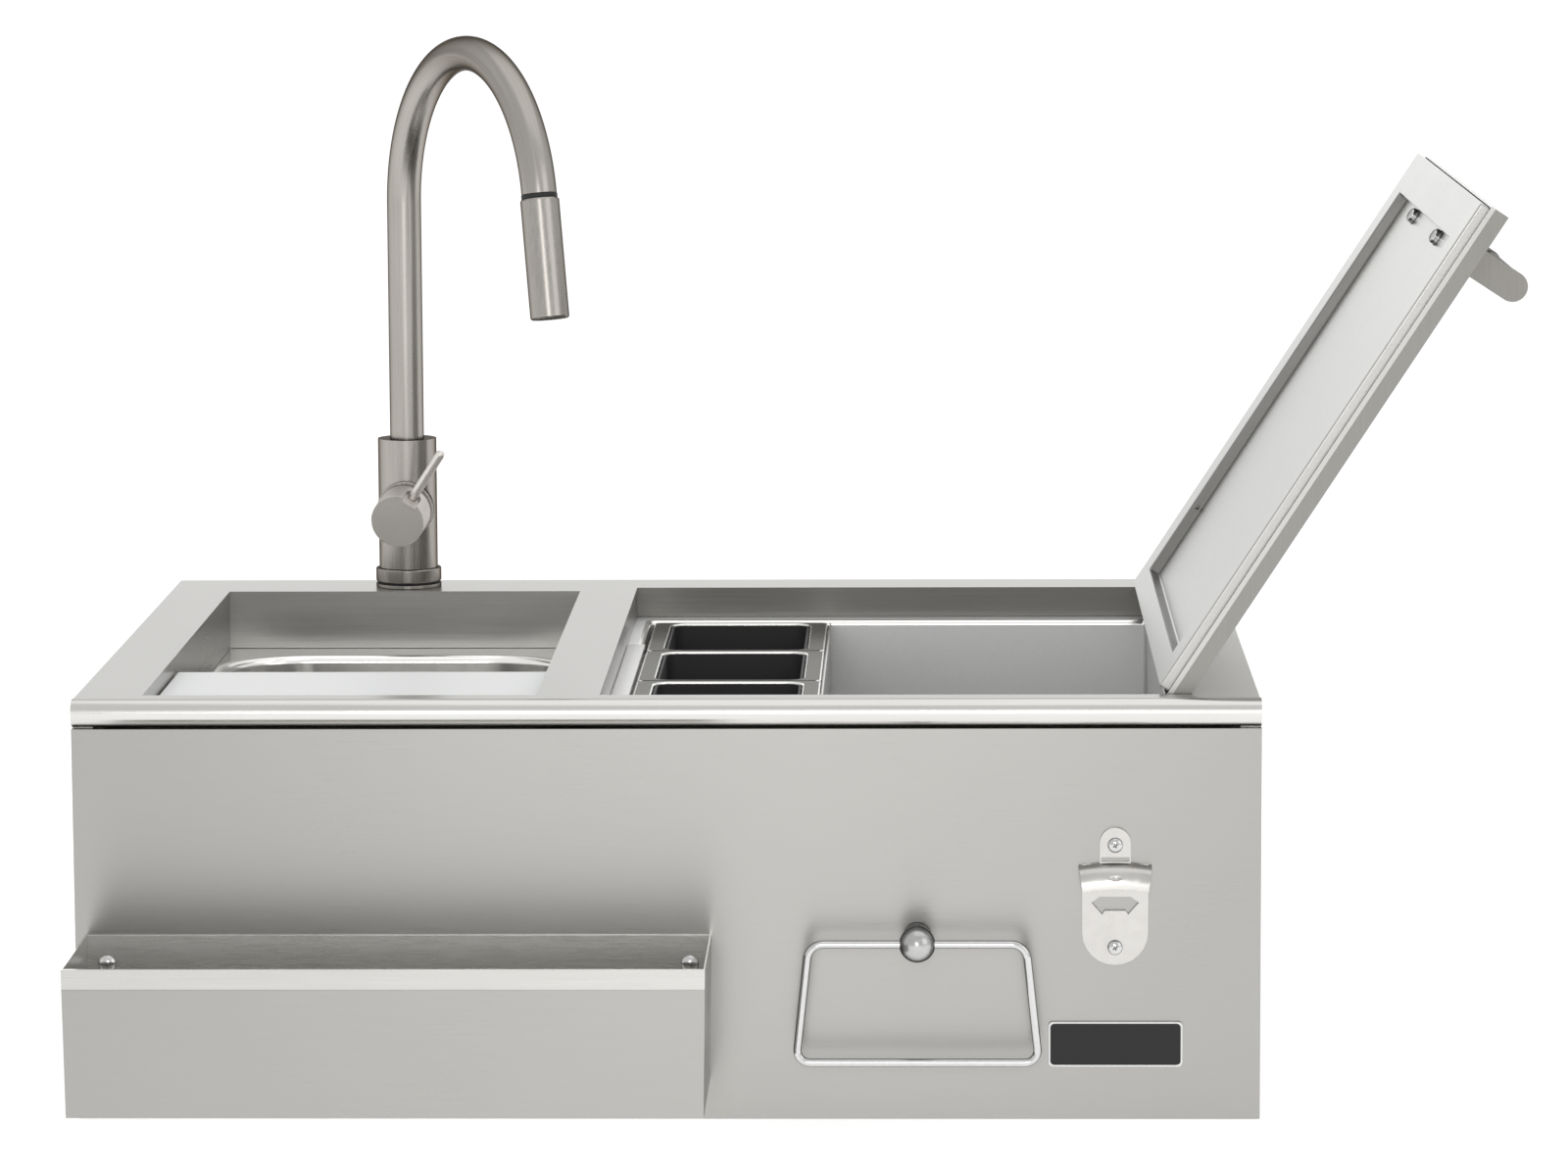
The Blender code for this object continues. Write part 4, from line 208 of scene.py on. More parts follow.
# Material name, darkest and lightest tone, gloss, grain, relief in mm and what else it has
FINISHES = {
    # Type 304 sheet, belt brushed along the unit: fine level lines that soften what the
    # sheet mirrors. Real lines are 0.1 to 0.3 mm apart, drawn here at about 0.8 mm to show.
    "brushed": ("brushed_stainless_long", "#949390", "#969592", (0.27, 0.30),
                (24, 1250, 1250), 0.0015, {"lines_along": "X"}),
    # The deck's flat top, brushed the same way, in a paler tone that is painted light on the top
    "deck": ("brushed_stainless_top", "#A7A6A3", "#AAA9A6", (0.28, 0.31),
             (24, 1250, 1250), 0.0015, {"lines_along": "X"}),
    # Half-round front, rolled after brushing: a paler tone that is painted highlight, and one band
    # of light along it from its smoother gloss
    "nose": ("rolled_stainless_front", "#BEBDBA", "#C3C2BF", (0.19, 0.24),
             (16, 900, 900), 0.002, {}),
    # Lid top: sheet like the deck's, a little paler, with its lines front to back
    "lid_top": ("brushed_stainless_lid_top", "#AEADAA", "#B2B1AE", (0.26, 0.32),
                (1250, 16, 1250), 0.003, {"lines_along": "Y"}),
    # Bends, in a pale tone that paints thin bright lines on them: painted highlight
    "bend": ("burnished_stainless_bend", "#DCDBD8", "#E2E1DF", (0.18, 0.24), 60, 0.002, {}),
    # The speed rail's folded top edge, a smoother strip in a paler tone that is painted highlight
    "hem": ("pressed_stainless_hem", "#ACABA8", "#B2B1AE", (0.24, 0.29),
            (16, 1250, 1250), 0.003, {"lines_along": "X"}),
    # Walls turned down into the openings, in darker tones that are painted shade:
    # "recess" round the ice bin and the paler "well" round the sink
    "recess": ("dull_stainless_recess", "#74736F", "#7C7B77", (0.34, 0.42),
               (12, 900, 900), 0.006, {}),
    "well": ("dull_stainless_well", "#93928F", "#9A9996", (0.30, 0.38), (12, 900, 900), 0.006, {}),
    # The same sheet with its lines front to back, as on the sides and the recess ends
    "brushed_deep": ("brushed_stainless_deep", "#9C9B98", "#A2A19E", (0.26, 0.32),
                     (1250, 16, 1250), 0.005, {"lines_along": "Y"}),
    # Skirts of the lid's outer pan and its handle posts: ground, in a darker tone than the deck
    # that is painted shade on them
    "lid_side": ("ground_stainless_side", "#7C7B77", "#83827E", (0.32, 0.40),
                 (1250, 1250, 16), 0.008, {}),
    "post": ("ground_stainless_post", "#7A7874", "#817F7B", (0.32, 0.40),
             (1250, 1250, 16), 0.008, {}),
    # Lid inner sheet, with the film-smooth 2B finish of a hidden side
    "lid": ("smooth_stainless_lid", "#ACACA9", "#B1B1AE", (0.28, 0.34), (900, 16, 900), 0.004, {}),
    # Its side walls and the outer pan's hem
    "lid_edge": ("smooth_stainless_lid_edge", "#A9A8A5", "#AFAEAC", (0.30, 0.38),
                 (16, 900, 900), 0.004, {}),
    # The drawn walls of its recess, matt, in a dark tone that is painted shade in the recess
    "lid_wall": ("drawn_stainless_lid_wall", "#737270", "#7C7B79", (0.34, 0.44), 60, 0.01, {}),
    # Bar stock and tube polished with a fine belt: satin, with faint streaks along the piece; its
    # dark edge tint is painted shade along the rims
    "satin": ("satin_nickel", "#938F8A", "#A29E99", (0.24, 0.32), (900, 900, 14), 0.006,
              {"edge": "#5E5A56"}),
    # The same belt on the gooseneck, whose streaks follow its bend, with the same painted shade
    # along the rims
    "satin_bent": ("satin_nickel_bent", "#938F8A", "#A29E99", (0.24, 0.32), (900, 900, 14), 0.006,
                   {"edge": "#5E5A56", "follows": "unbent"}),
    # Cap and lever, brushed in all directions on a buffing mop: paler and wider in its gloss, its
    # greyer edge tint painted shade at the rims
    "mopped": ("mopped_nickel", "#D8D4CF", "#E0DCD8", (0.42, 0.52), 700, 0.006,
               {"edge": "#8A8682"}),
    # Deep drawn bowl: the drawing press leaves it smoother, with slow waves in what it mirrors
    "drawn": ("drawn_stainless", "#E2E1DE", "#EAE9E7", (0.16, 0.24), 60, 0.02, {"cloud": 14}),
    # Condiment pans, drawn and then brushed inside and out: mid grey; the bright rolled rims are
    # the bend finish's painted highlight, the grey edge tint painted shade at the rims
    "pan": ("brushed_stainless_pan", "#BFBEBC", "#C7C6C4", (0.20, 0.28), (16, 900, 900), 0.004,
            {"edge": "#8A8A88"}),
    # Inside of the speed rail, in a much paler tone that is painted light between its walls
    "rail_inside": ("smooth_stainless_rail", "#E6E5E2", "#EAE9E6", (0.26, 0.30),
                    (24, 900, 900), 0.0015, {}),
    # Bin liner sheet, a dull 2B mill finish with no lines to speak of
    "mill": ("mill_stainless", "#D6D6D6", "#DCDCDB", (0.46, 0.56), 500, 0.006, {}),
    # Bright chrome plate on the small fittings, with the faint orange peel of the plating; its dark
    # edge tint is painted shade along the rims
    "chrome": ("chrome_plate", "#B6B6B6", "#BEBEBD", (0.10, 0.16), 350, 0.002, {"edge": "#4A4A4A"}),
    # Ball post of the ring: satin chrome, which spreads what it mirrors into soft patches; its dark
    # edge tint is painted shade along the rims
    "satin_chrome": ("satin_chrome", "#A6A6A5", "#AEAEAD", (0.24, 0.30), 350, 0.003,
                     {"edge": "#3C3C3B"}),
    # Tumbled and brightened opener: pale, soft and slightly uneven
    "cast": ("tumbled_steel", "#B3B1AE", "#BAB8B5", (0.24, 0.32), 120, 0.003, {"cloud": 40}),
    # Its sheared edges, its undersides and the screws' crosses, in a darker tone that is painted
    # shade
    "sheared": ("sheared_steel", "#7E7C79", "#8A8885", (0.34, 0.46), 300, 0.01, {}),
    # Zinc-coated casing sheet: dull grey with crystal patches about 8 mm across
    "zinc": ("galvanised_zinc", "#8E9294", "#A6AAAC", (0.38, 0.55), 120, 0.01, {"cloud": 90}),
    # Brass fittings under the deck with a plain zinc plate
    "plated": ("zinc_plated_brass", "#A09F98", "#B9B8B1", (0.28, 0.42), 400, 0.01, {}),
    # White polyethylene board: planed, with a fine pebble that stops knives from sliding
    "board": ("white_polyethylene", "#F2F2F1", "#F6F6F5", (0.42, 0.55), 650, 0.03,
              {"metal": 0, "inputs": {"IOR": 1.54, "Subsurface Weight": 0.08}}),
    # Black moulded inserts with a spark-eroded texture: no shine, a trace of grey in the light
    "black": ("black_polypropylene", "#1C1B1B", "#272525", (0.55, 0.72), 900, 0.08,
              {"metal": 0, "inputs": {"IOR": 1.49}}),
    # Black rubber on gasket, washer, nozzle, hose and dock ring
    "rubber": ("black_rubber", "#141414", "#1E1E1E", (0.6, 0.8), 500, 0.03, {"metal": 0}),
    # Poured foam round the bin: cream with open cells of 2 to 3 mm
    "foam": ("poured_foam", "#D9CFA8", "#EAE2C2", (0.85, 0.95), 400, 0.5, {"metal": 0}),
    # Stoved black enamel on the name plate: deep, satin in its gloss, slightly wavy
    "enamel": ("black_enamel", "#080808", "#0E0E0E", (0.30, 0.38), 90, 0.005,
               {"metal": 0, "inputs": {"IOR": 1.4}}),
}
# The finished materials, by the same names
FINISH = {}


def make_finishes():
    """Make the material of every finish."""
    for key, (*plain, more) in FINISHES.items():
        FINISH[key] = grained(*plain, **more)


# Workshop helpers

def close_edit():
    bpy.ops.object.mode_set(mode="OBJECT")


def nothing_selected():
    """Leave edit mode and let go of every object."""
    if bpy.context.object and bpy.context.object.mode == "EDIT":
        close_edit()
    bpy.ops.object.select_all(action="DESELECT")


def take(piece):
    """Make a piece the only selected one."""
    nothing_selected()
    piece.select_set(True)
    bpy.context.view_layer.objects.active = piece


def select(kind, action):
    """Work on verts, edges or faces, with all of them selected or none."""
    bpy.context.tool_settings.mesh_select_mode = [kind == k for k in ("verts", "edges", "faces")]
    bpy.ops.mesh.select_all(action=action)


def begin(name):
    """Name the new primitive and open it for editing."""
    piece = bpy.context.object
    piece.name = name
    bpy.ops.object.transform_apply(location=True, rotation=True, scale=True)
    bpy.ops.object.mode_set(mode="EDIT")
    return piece


def start_box(name, low, high):
    """A block between two corners, left in edit mode."""
    low, high = Vector(low), Vector(high)
    nothing_selected()
    bpy.ops.mesh.primitive_cube_add(size=1, location=(low + high) / 2, scale=high - low)
    return begin(name)


def block(name, low, high):
    """A finished block between two corners."""
    piece = start_box(name, low, high)
    close_edit()
    return piece


def start_circle(name, radius, height, sides):
    """A ring of edges round Z, all selected and left in edit mode."""
    nothing_selected()
    bpy.ops.mesh.primitive_circle_add(vertices=sides, radius=radius, location=(0, 0, height))
    piece = begin(name)
    select("edges", "SELECT")
    return piece


def choose(piece, kind, test):
    """Select faces by middle and normal, edges by their ends or verts by their place."""
    select(kind, "DESELECT")
    shape = bmesh.from_edit_mesh(piece.data)
    shape.normal_update()
    for part in getattr(shape, kind):
        if kind == "faces":
            seen = test(part.calc_center_median(), part.normal)
        elif kind == "edges":
            seen = test(part.verts[0].co, part.verts[1].co)
        else:
            seen = test(part.co)
        if seen:
            part.select_set(True)
    bmesh.update_edit_mesh(piece.data)


def open_edges():
    """Select the free edges of an open sheet."""
    select("edges", "DESELECT")
    bpy.ops.mesh.select_non_manifold(
        extend=False, use_wire=False, use_boundary=True, use_multi_face=False,
        use_non_contiguous=False, use_verts=False)


def extrude(by):
    bpy.ops.mesh.extrude_region_move(TRANSFORM_OT_translate={"value": tuple(by)})


def scale_about(middle, across, deep, high=1):
    bpy.ops.transform.resize(value=(across, deep, high), center_override=tuple(middle))


def round_edges(piece, width, steps, test):
    """Round the edges whose ends pass the test."""
    choose(piece, "edges", test)
    bpy.ops.mesh.bevel(offset=width, segments=steps, affect="EDGES")


def open_top(piece):
    """Take the top face off a block."""
    choose(piece, "faces", lambda middle, normal: normal.z > 0.5)
    bpy.ops.mesh.delete(type="ONLY_FACE")


def close_outward():
    """Turn every normal outward and leave edit mode."""
    bpy.ops.mesh.select_all(action="SELECT")
    bpy.ops.mesh.normals_make_consistent(inside=False)
    close_edit()


def turned(name, profile, ring=False, sides=ROUND):
    """Turn a profile of (radius, height) points about Z, as on a lathe."""
    radius, height = profile[0]
    piece = start_circle(name, radius, height, sides)
    for next_radius, next_height in profile[1:]:
        extrude((0, 0, next_height - height))
        scale_about((0, 0, next_height), next_radius / radius, next_radius / radius)
        radius, height = next_radius, next_height
    if ring:
        open_edges()
        bpy.ops.mesh.bridge_edge_loops()
    else:
        bpy.ops.mesh.select_all(action="SELECT")
        bpy.ops.mesh.fill_holes(sides=0)
    close_outward()
    return piece


def raised(by, profile):
    """A profile moved up."""
    return [(radius, by + height) for radius, height in profile]


def dome(radius, rise, foot=0, steps=10):
    """The profile of a dome, from its edge at height foot to its tip."""
    turns = [math.pi / 2 * n / steps for n in range(steps)]
    return [(radius * math.cos(a), foot + rise * math.sin(a)) for a in turns] + [(TIP, foot + rise)]


def domed(name, stem, length, radius, edge, rise, steps):
    """A dome-headed bolt or screw, with the seat of its head at height 0."""
    profile = [(stem, -length), (stem, 0), (radius, 0)] + dome(radius, rise, edge, steps)
    return turned(name, profile, sides=SMALL_ROUND)


def spaced(*rings):
    """Places on rings round Z, each ring given as its radius and its count."""
    turns = [(radius, 2 * math.pi * n / count) for radius, count in rings for n in range(count)]
    return [(radius * math.cos(turn), radius * math.sin(turn), 0) for radius, turn in turns]


def facing(place, way):
    """The matrix that stands a turned piece on place, pointing along way."""
    turn = UP.rotation_difference(Vector(way)).to_matrix()
    return Matrix.Translation(place) @ turn.to_4x4()


def put(piece, matrix):
    """Move a piece to its place and leave the place in its mesh."""
    take(piece)
    piece.matrix_world = matrix @ piece.matrix_world
    bpy.ops.object.transform_apply(location=True, rotation=True, scale=True)
    return piece


def another(piece, name, by):
    """A second piece like this one, with its own mesh, moved by a step."""
    take(piece)
    bpy.ops.object.duplicate()
    made = bpy.context.object
    made.name = name
    made.location = Vector(by)
    bpy.ops.object.transform_apply(location=True, rotation=True, scale=True)
    return made


def joined(piece, others):
    """Join others into one mesh with this piece."""
    take(piece)
    for other in others:
        other.select_set(True)
    bpy.ops.object.join()
    return piece


def change(piece, kind, **settings):
    """Add a modifier, set it and apply it."""
    take(piece)
    step = piece.modifiers.new(kind.lower(), kind)
    for key, value in settings.items():
        setattr(step, key, value)
    bpy.ops.object.modifier_apply(modifier=step.name)


def cut(piece, tool, join=False):
    """Cut a tool out of a piece, or join it on."""
    change(piece, "BOOLEAN", operation="UNION" if join else "DIFFERENCE", solver="EXACT",
           object=tool)
    bpy.data.objects.remove(tool)


def thicken(piece, wall):
    """Give an open sheet its wall, behind its face."""
    change(piece, "SOLIDIFY", thickness=wall, offset=-1, use_even_offset=True)


def dress(piece, finishes, pick=None):
    """Give each face the finish that pick names for its middle and normal."""
    piece.data.materials.clear()
    for finish in finishes:
        piece.data.materials.append(FINISH[finish])
    if pick:
        for face in piece.data.polygons:
            face.material_index = finishes.index(pick(face.center, face.normal))


def settle(piece, body, node, finish=None, ease=0, smooth=35):
    """Ease the edges, smooth the bends and hang the piece on its body, in place of its CAD node.

    smooth is the greatest angle in degrees that is still shaded smooth. A piece that was
    dressed before has no finish here.
    """
    take(piece)
    if ease:
        change(piece, "BEVEL", width=ease, segments=3, limit_method="ANGLE",
               angle_limit=math.radians(smooth), use_clamp_overlap=True)
    bpy.ops.object.transform_apply(location=True, rotation=True, scale=True)
    bpy.ops.object.shade_smooth_by_angle(angle=math.radians(smooth))
    change(piece, "WEIGHTED_NORMAL", keep_sharp=True, weight=60)
    if finish:
        dress(piece, (finish,))
    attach(piece, body)
    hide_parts(node)


def sheet_of(node):
    """A welded copy of a CAD node whose flats are single faces."""
    source = frame["nodes"][node]
    piece = source.copy()
    piece.data = source.data.copy()
    piece.name = node + ".sheet"
    piece.parent = None
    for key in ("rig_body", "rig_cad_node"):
        del piece[key]
    bpy.context.scene.collection.objects.link(piece)
    take(piece)
    bpy.ops.object.mode_set(mode="EDIT")
    bpy.ops.mesh.select_all(action="SELECT")
    bpy.ops.mesh.remove_doubles(threshold=0.005 * MM)
    bpy.ops.mesh.customdata_custom_splitnormals_clear()
    bpy.ops.mesh.dissolve_limited(angle_limit=math.radians(0.5))
    close_edit()
    return piece


def weld_on(finish, slot, *nodes, ease=0):
    """Dress fixed CAD nodes in one finish, with their flats flat and their bends smooth."""
    for node in nodes:
        settle(sheet_of(node), "casing", node, finish, ease=ease, smooth=SHEET_TURN)


def bent(normal):
    """True on a bend between sheets that lie along the axes."""
    return max(abs(x) for x in normal) < FLAT


def roll_rim(middle, half_x, half_y, rim, steps=6):
    """Roll the open edge of a tub outward over a quarter turn."""
    open_edges()
    out = rise = 0
    for n in range(1, steps + 1):
        angle = math.pi / 2 * n / steps
        next_out, next_rise = rim * (1 - math.cos(angle)), rim * math.sin(angle)
        extrude((0, 0, next_rise - rise))
        scale_about(middle, (half_x + next_out) / (half_x + out),
                    (half_y + next_out) / (half_y + out))
        out, rise = next_out, next_rise


def add_flange(piece, middle, top, flange):
    """Carry a rolled rim out to a flat flange with square corners."""
    # The outer ring is lifted for a moment, so that each corner of it can be picked
    extrude((0, 0, MM))
    scale_about(middle, 1.01, 1.01)
    x0, y0, x1, y1 = flange
    for x, y in ((x0, y0), (x1, y0), (x1, y1), (x0, y1)):
        choose(piece, "verts", lambda p: p.z > top + MM / 2
               and (p.x - middle.x) * (x - middle.x) > 0 and (p.y - middle.y) * (y - middle.y) > 0)
        bpy.ops.mesh.merge(type="CENTER")
        shape = bmesh.from_edit_mesh(piece.data)
        found = [v.co.copy() for v in shape.verts if v.select][0]
        bpy.ops.transform.translate(value=Vector((x, y, top)) - found)


def turn_down(piece, top, flange, skirt, corner):
    """Turn a flange's edge down into a skirt with rounded corners."""
    x0, _, x1, _ = flange
    open_edges()
    extrude((0, 0, -skirt))

    def at_end(p):
        return abs(abs(p.x - (x0 + x1) / 2) - (x1 - x0) / 2) < NEAR

    round_edges(piece, corner, 6, lambda a, b: abs(a.z - b.z) > skirt / 2
                and min(a.z, b.z) < top - skirt / 2 and abs(a.x - b.x) < NEAR and at_end(a))


def pressed_tub(name, hole, floor, top, corner, foot, draft, wall, rim=0, flange=None, skirt=0,
                flange_corner=0):
    """Draw a tub from flat sheet: rounded floor, tapered walls, rolled rim, flange and skirt.

    hole and flange are (x0, y0, x1, y1). corner is the radius of the upright corners, foot
    that of the floor's edge and draft how far a wall leans in. The wall grows outward from
    the hole, or inward where it is negative.
    """
    x0, y0, x1, y1 = hole
    half_x, half_y = (x1 - x0) / 2, (y1 - y0) / 2
    middle = Vector(((x0 + x1) / 2, (y0 + y1) / 2, floor))
    piece = start_box(name, (x0, y0, floor), (x1, y1, top - rim))
    open_top(piece)
    choose(piece, "verts", lambda p: p.z < floor + MM)
    scale_about(middle, 1 - draft / half_x, 1 - draft / half_y)
    round_edges(piece, corner, 14, lambda a, b: abs(a.z - b.z) > MM)
    round_edges(piece, foot, 10, lambda a, b: max(a.z, b.z) < floor + NEAR)
    if flange:
        roll_rim(middle, half_x, half_y, rim)
        add_flange(piece, middle, top, flange)
        if skirt:
            turn_down(piece, top, flange, skirt, flange_corner)
    close_outward()
    # An open tub has no clear outside, so its lowest level face tells: it has to look up
    level = [face for face in piece.data.polygons if abs(face.normal.z) >= 0.9]
    if min(level, key=lambda face: face.center.z).normal.z < 0:
        piece.data.flip_normals()
    thicken(piece, wall)
    return piece


# What a user may change

def size(name, description, default, low, high):
    """A size that the user gives, between two limits, all in millimetres here."""
    return bpy.props.FloatProperty(name=name, description=description, default=default * MM,
                                   min=low * MM, max=high * MM, unit="LENGTH")


def power(name, description, default):
    return bpy.props.FloatProperty(name=name, description=description, default=default,
                                   min=0, max=500, unit="POWER")


class BarSizes(bpy.types.PropertyGroup):
    board_edge: size("Board edge", "Rounding of the cutting board's edges", 1.6, 0.2, 5)
    wire_radius: size("Ring wire", "Radius of the towel ring's wire", 2.7, 1, 4)
    plate_border: size("Plate border", "Width of the bright border of the name plate", 1.3, 0.5, 3)


class BarStage(bpy.types.PropertyGroup):
    lens: bpy.props.FloatProperty(
        name="Lens", description="Focal length on a 36 mm sensor", default=138.76, min=20, max=400)
    backdrop: bpy.props.FloatVectorProperty(
        name="Backdrop", description="Colour of the floor and the surroundings",
        default=(1, 1, 1), size=3, subtype="COLOR", min=0, max=1)
    key_watts: power("Key light", "Power of the large light behind the camera", 32)
    fill_watts: power("Fill light", "Power of the light at the right", 12)
    top_watts: power("Top light", "Power of the overhead light", 14)
    back_watts: power("Back light", "Power of the light behind the unit", 7)


# Casing

class BAR_OT_deck(bpy.types.Operator):
    """Fold the deck sheet round the sink and bin openings, with its half-round front"""
    bl_idname = "bar.deck"
    bl_label = "Deck"

    def execute(self, context):
        deck = sheet_of("deck_top")
        nose_back = OPENING_FRONT - 0.014

        # The paler top is painted light, the pale bends painted highlight, and the darker walls
        # that face out of the openings painted shade
        def pick(middle, normal):
            if normal.z > FLAT:
                return "deck"
            if middle.y < nose_back and abs(normal.x) < 0.5:
                return "nose"
            if bent(normal):
                return "bend"
            if normal.y < -0.9:
                return "recess" if middle.x > 0 else "well"
            return "brushed_deep"

        dress(deck, ("deck", "nose", "bend", "recess", "well", "brushed_deep"), pick)
        settle(deck, "casing", "deck_top", smooth=SHEET_TURN)
        return {"FINISHED"}


class BAR_OT_casing(bpy.types.Operator):
    """Fold the front apron, the sides, the back and the base"""
    bl_idname = "bar.casing"
    bl_label = "Casing"

    def execute(self, context):
        apron = sheet_of("front_apron")
        # Its bends take the pale bend finish, a painted highlight
        dress(apron, ("brushed", "bend"), lambda c, normal: "bend" if bent(normal) else "brushed")
        settle(apron, "casing", "front_apron", smooth=SHEET_TURN)
        weld_on("zinc", "zinc", "side_panel_left", "side_panel_right", "rear_panel", "base_panel")
        return {"FINISHED"}


# Sink

def draw_bowl():
    """The bowl, which hangs by a flange under the deck's opening, with its drain hole."""
    lap, side = 0.0052, 0.0055
    bowl = pressed_tub(
        "sink_bowl.drawn",
        hole=(SINK_LEFT + side, BOWL_FRONT, SINK_RIGHT - side, SINK_BACK - BACK_LEDGE),
        floor=BOWL_FLOOR, top=BOWL_TOP, corner=0.062, foot=0.030, draft=0.006, wall=SHEET,
        rim=0.006, flange=(SINK_LEFT - lap, OPENING_FRONT - lap, SINK_RIGHT + lap, SINK_BACK + lap))
    radius = 0.0445
    drill = turned("drill", [(radius, BOWL_FLOOR - OVERRUN), (radius, BOWL_FLOOR + OVERRUN)])
    cut(bowl, put(drill, Matrix.Translation(DRAIN)))
    settle(bowl, "casing", "sink_bowl", "drawn", smooth=ROUND_TURN)


def turn_strainer(seat, cup):
    """The strainer body: a cup under the drain hole, with its rim lying on the bowl's floor."""
    bore, inside, rim, wall = 0.0157, 0.040, 0.056, 0.0015
    under, foot = cup - wall, cup - wall - 0.010
    profile = [(bore, cup), (inside, cup), (inside, seat), (rim - wall, seat + wall), (rim, seat),
               (inside + wall, seat), (inside + wall, under), (bore + wall, under),
               (bore + wall, foot), (bore, foot)]
    strainer = put(turned("sink_strainer.turned", profile, ring=True), Matrix.Translation(DRAIN))
    settle(strainer, "casing", "sink_strainer", "drawn", ease=0.3 * MM)


def turn_basket(floor):
    """The lift-out basket: a pierced cup with a knob standing in its middle."""
    rim, wall = 0.037, 0.0012
    profile = [(rim - wall, 0), (rim, 0.030), (rim - wall, 0.030), (rim - 2 * wall, wall),
               (0.0032, wall), (0.0030, 0.0165), (0.0048, 0.0180), (0.0060, 0.0198),
               (0.0060, 0.0220), (0.0052, 0.0238), (TIP, 0.0240)]
    basket = turned("sink_basket.turned", raised(floor, profile))
    through = raised(floor, [(0.0019, -0.002), (0.0019, 0.003)])
    holes = [put(turned("hole", through, sides=12), Matrix.Translation(place))
             for place in spaced((0.0115, 8), (0.0190, 12), (0.0270, 16))]
    cut(basket, joined(holes[0], holes[1:]))
    put(basket, Matrix.Translation(DRAIN))
    settle(basket, "basket", "sink_basket", "drawn", ease=0.2 * MM)


class BAR_OT_sink(bpy.types.Operator):
    """Draw the bowl and turn its strainer, basket and drain fittings"""
    bl_idname = "bar.sink"
    bl_label = "Sink"

    def execute(self, context):
        seat = BOWL_FLOOR + GAP
        cup = seat - 0.045
        draw_bowl()
        turn_strainer(seat, cup)
        turn_basket(cup + GAP)
        for node, finish, slot in (("strainer_nut", "plated", "zinc"),
                                   ("sink_tailpiece", "drawn", "drawn"),
                                   ("tailpiece_nut", "plated", "zinc")):
            weld_on(finish, slot, node, ease=0.25 * MM)
        return {"FINISHED"}


class BAR_OT_board(bpy.types.Operator):
    """Plane the cutting board and fold its two rests"""
    bl_idname = "bar.board"
    bl_label = "Cutting board"

    def execute(self, context):
        board = start_box("cutting_board.planed", *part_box("cutting_board"))
        round_edges(board, context.scene.bar_sizes.board_edge, 5, lambda a, b: True)
        settle(board, "board", "cutting_board", "board")
        weld_on("brushed_deep", "brushed", "board_rest_left", "board_rest_right", ease=0.25 * MM)
        return {"FINISHED"}


# Ice bin

class BAR_OT_bin(bpy.types.Operator):
    """Fold the ice bin's liner, with its foam, shell and drain"""
    bl_idname = "bar.bin"
    bl_label = "Ice bin"

    def execute(self, context):
        liner = sheet_of("bin_liner")
        # Only the bends round the bin's mouth take the pale bend finish, a painted highlight
        mouth = UNIT_TOP - 0.030
        dress(liner, ("mill", "bend"),
              lambda middle, normal: "bend" if bent(normal) and middle.z > mouth else "mill")
        settle(liner, "casing", "bin_liner", smooth=SHEET_TURN)
        weld_on("foam", "foam", "bin_insulation")
        weld_on("zinc", "zinc", "bin_shell")
        weld_on("drawn", "drawn", "bin_drain")
        weld_on("brushed_deep", "brushed", "pan_rail", "bin_divider", ease=0.2 * MM)
        return {"FINISHED"}


def draw_pan(low, high, hole, press):
    """A condiment pan, whose flange has its outer edge rolled over."""
    corner = 0.004
    pan = pressed_tub("condiment_pan_1.drawn", hole, high.z - 0.100, high.z, wall=MM, rim=1.5 * MM,
                      flange=(low.x, low.y, high.x, high.y), skirt=0.004,
                      flange_corner=corner, **press)
    middle, half = (low + high) / 2, (high - low) / 2

    def on_rim(p):
        beyond = [max(abs(p[n] - middle[n]) - half[n] + corner, 0) for n in (0, 1)]
        return p.z > high.z - MM / 20 and math.hypot(*beyond) > corner - MM / 20

    take(pan)
    bpy.ops.object.mode_set(mode="EDIT")
    round_edges(pan, 1.3 * MM, 4, lambda a, b: on_rim(a) and on_rim(b))
    close_edit()
    return pan


def mould_insert(hole, press):
    """The black insert that fills a pan's hole, but for a small gap."""
    gap = 0.0006
    low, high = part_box("pan_insert_1")
    x0, y0, x1, y1 = hole
    return pressed_tub("pan_insert_1.moulded", (x0 + gap, y0 + gap, x1 - gap, y1 - gap),
                       low.z, high.z, wall=-0.002, **{**press, "corner": press["corner"] - gap})


class BAR_OT_pans(bpy.types.Operator):
    """Draw one condiment pan and its black insert, then copy both twice"""
    bl_idname = "bar.pans"
    bl_label = "Condiment pans"

    def execute(self, context):
        low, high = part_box("condiment_pan_1")
        side, end = 0.013, 0.005
        hole = (low.x + side, low.y + end, high.x - side, high.y - end)
        press = {"corner": 0.012, "foot": 0.008, "draft": 0.003}
        pans = [draw_pan(low, high, hole, press)]
        inserts = [mould_insert(hole, press)]
        for n in (2, 3):
            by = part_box(f"condiment_pan_{n}")[0] - low
            pans.append(another(pans[0], f"condiment_pan_{n}.drawn", by))
            inserts.append(another(inserts[0], f"pan_insert_{n}.moulded", by))

        # The rims' bends take the pale bend finish, a painted highlight
        def pick(middle, normal):
            return "bend" if bent(normal) and middle.z > high.z - 2 * MM else "pan"

        for n, (pan, insert) in enumerate(zip(pans, inserts), 1):
            dress(pan, ("pan", "bend"), pick)
            settle(pan, f"pan_{n}", f"condiment_pan_{n}", smooth=ROUND_TURN)
            settle(insert, f"pan_{n}", f"pan_insert_{n}", "black", ease=0.4 * MM,
                   smooth=ROUND_TURN)
        return {"FINISHED"}


# Lid

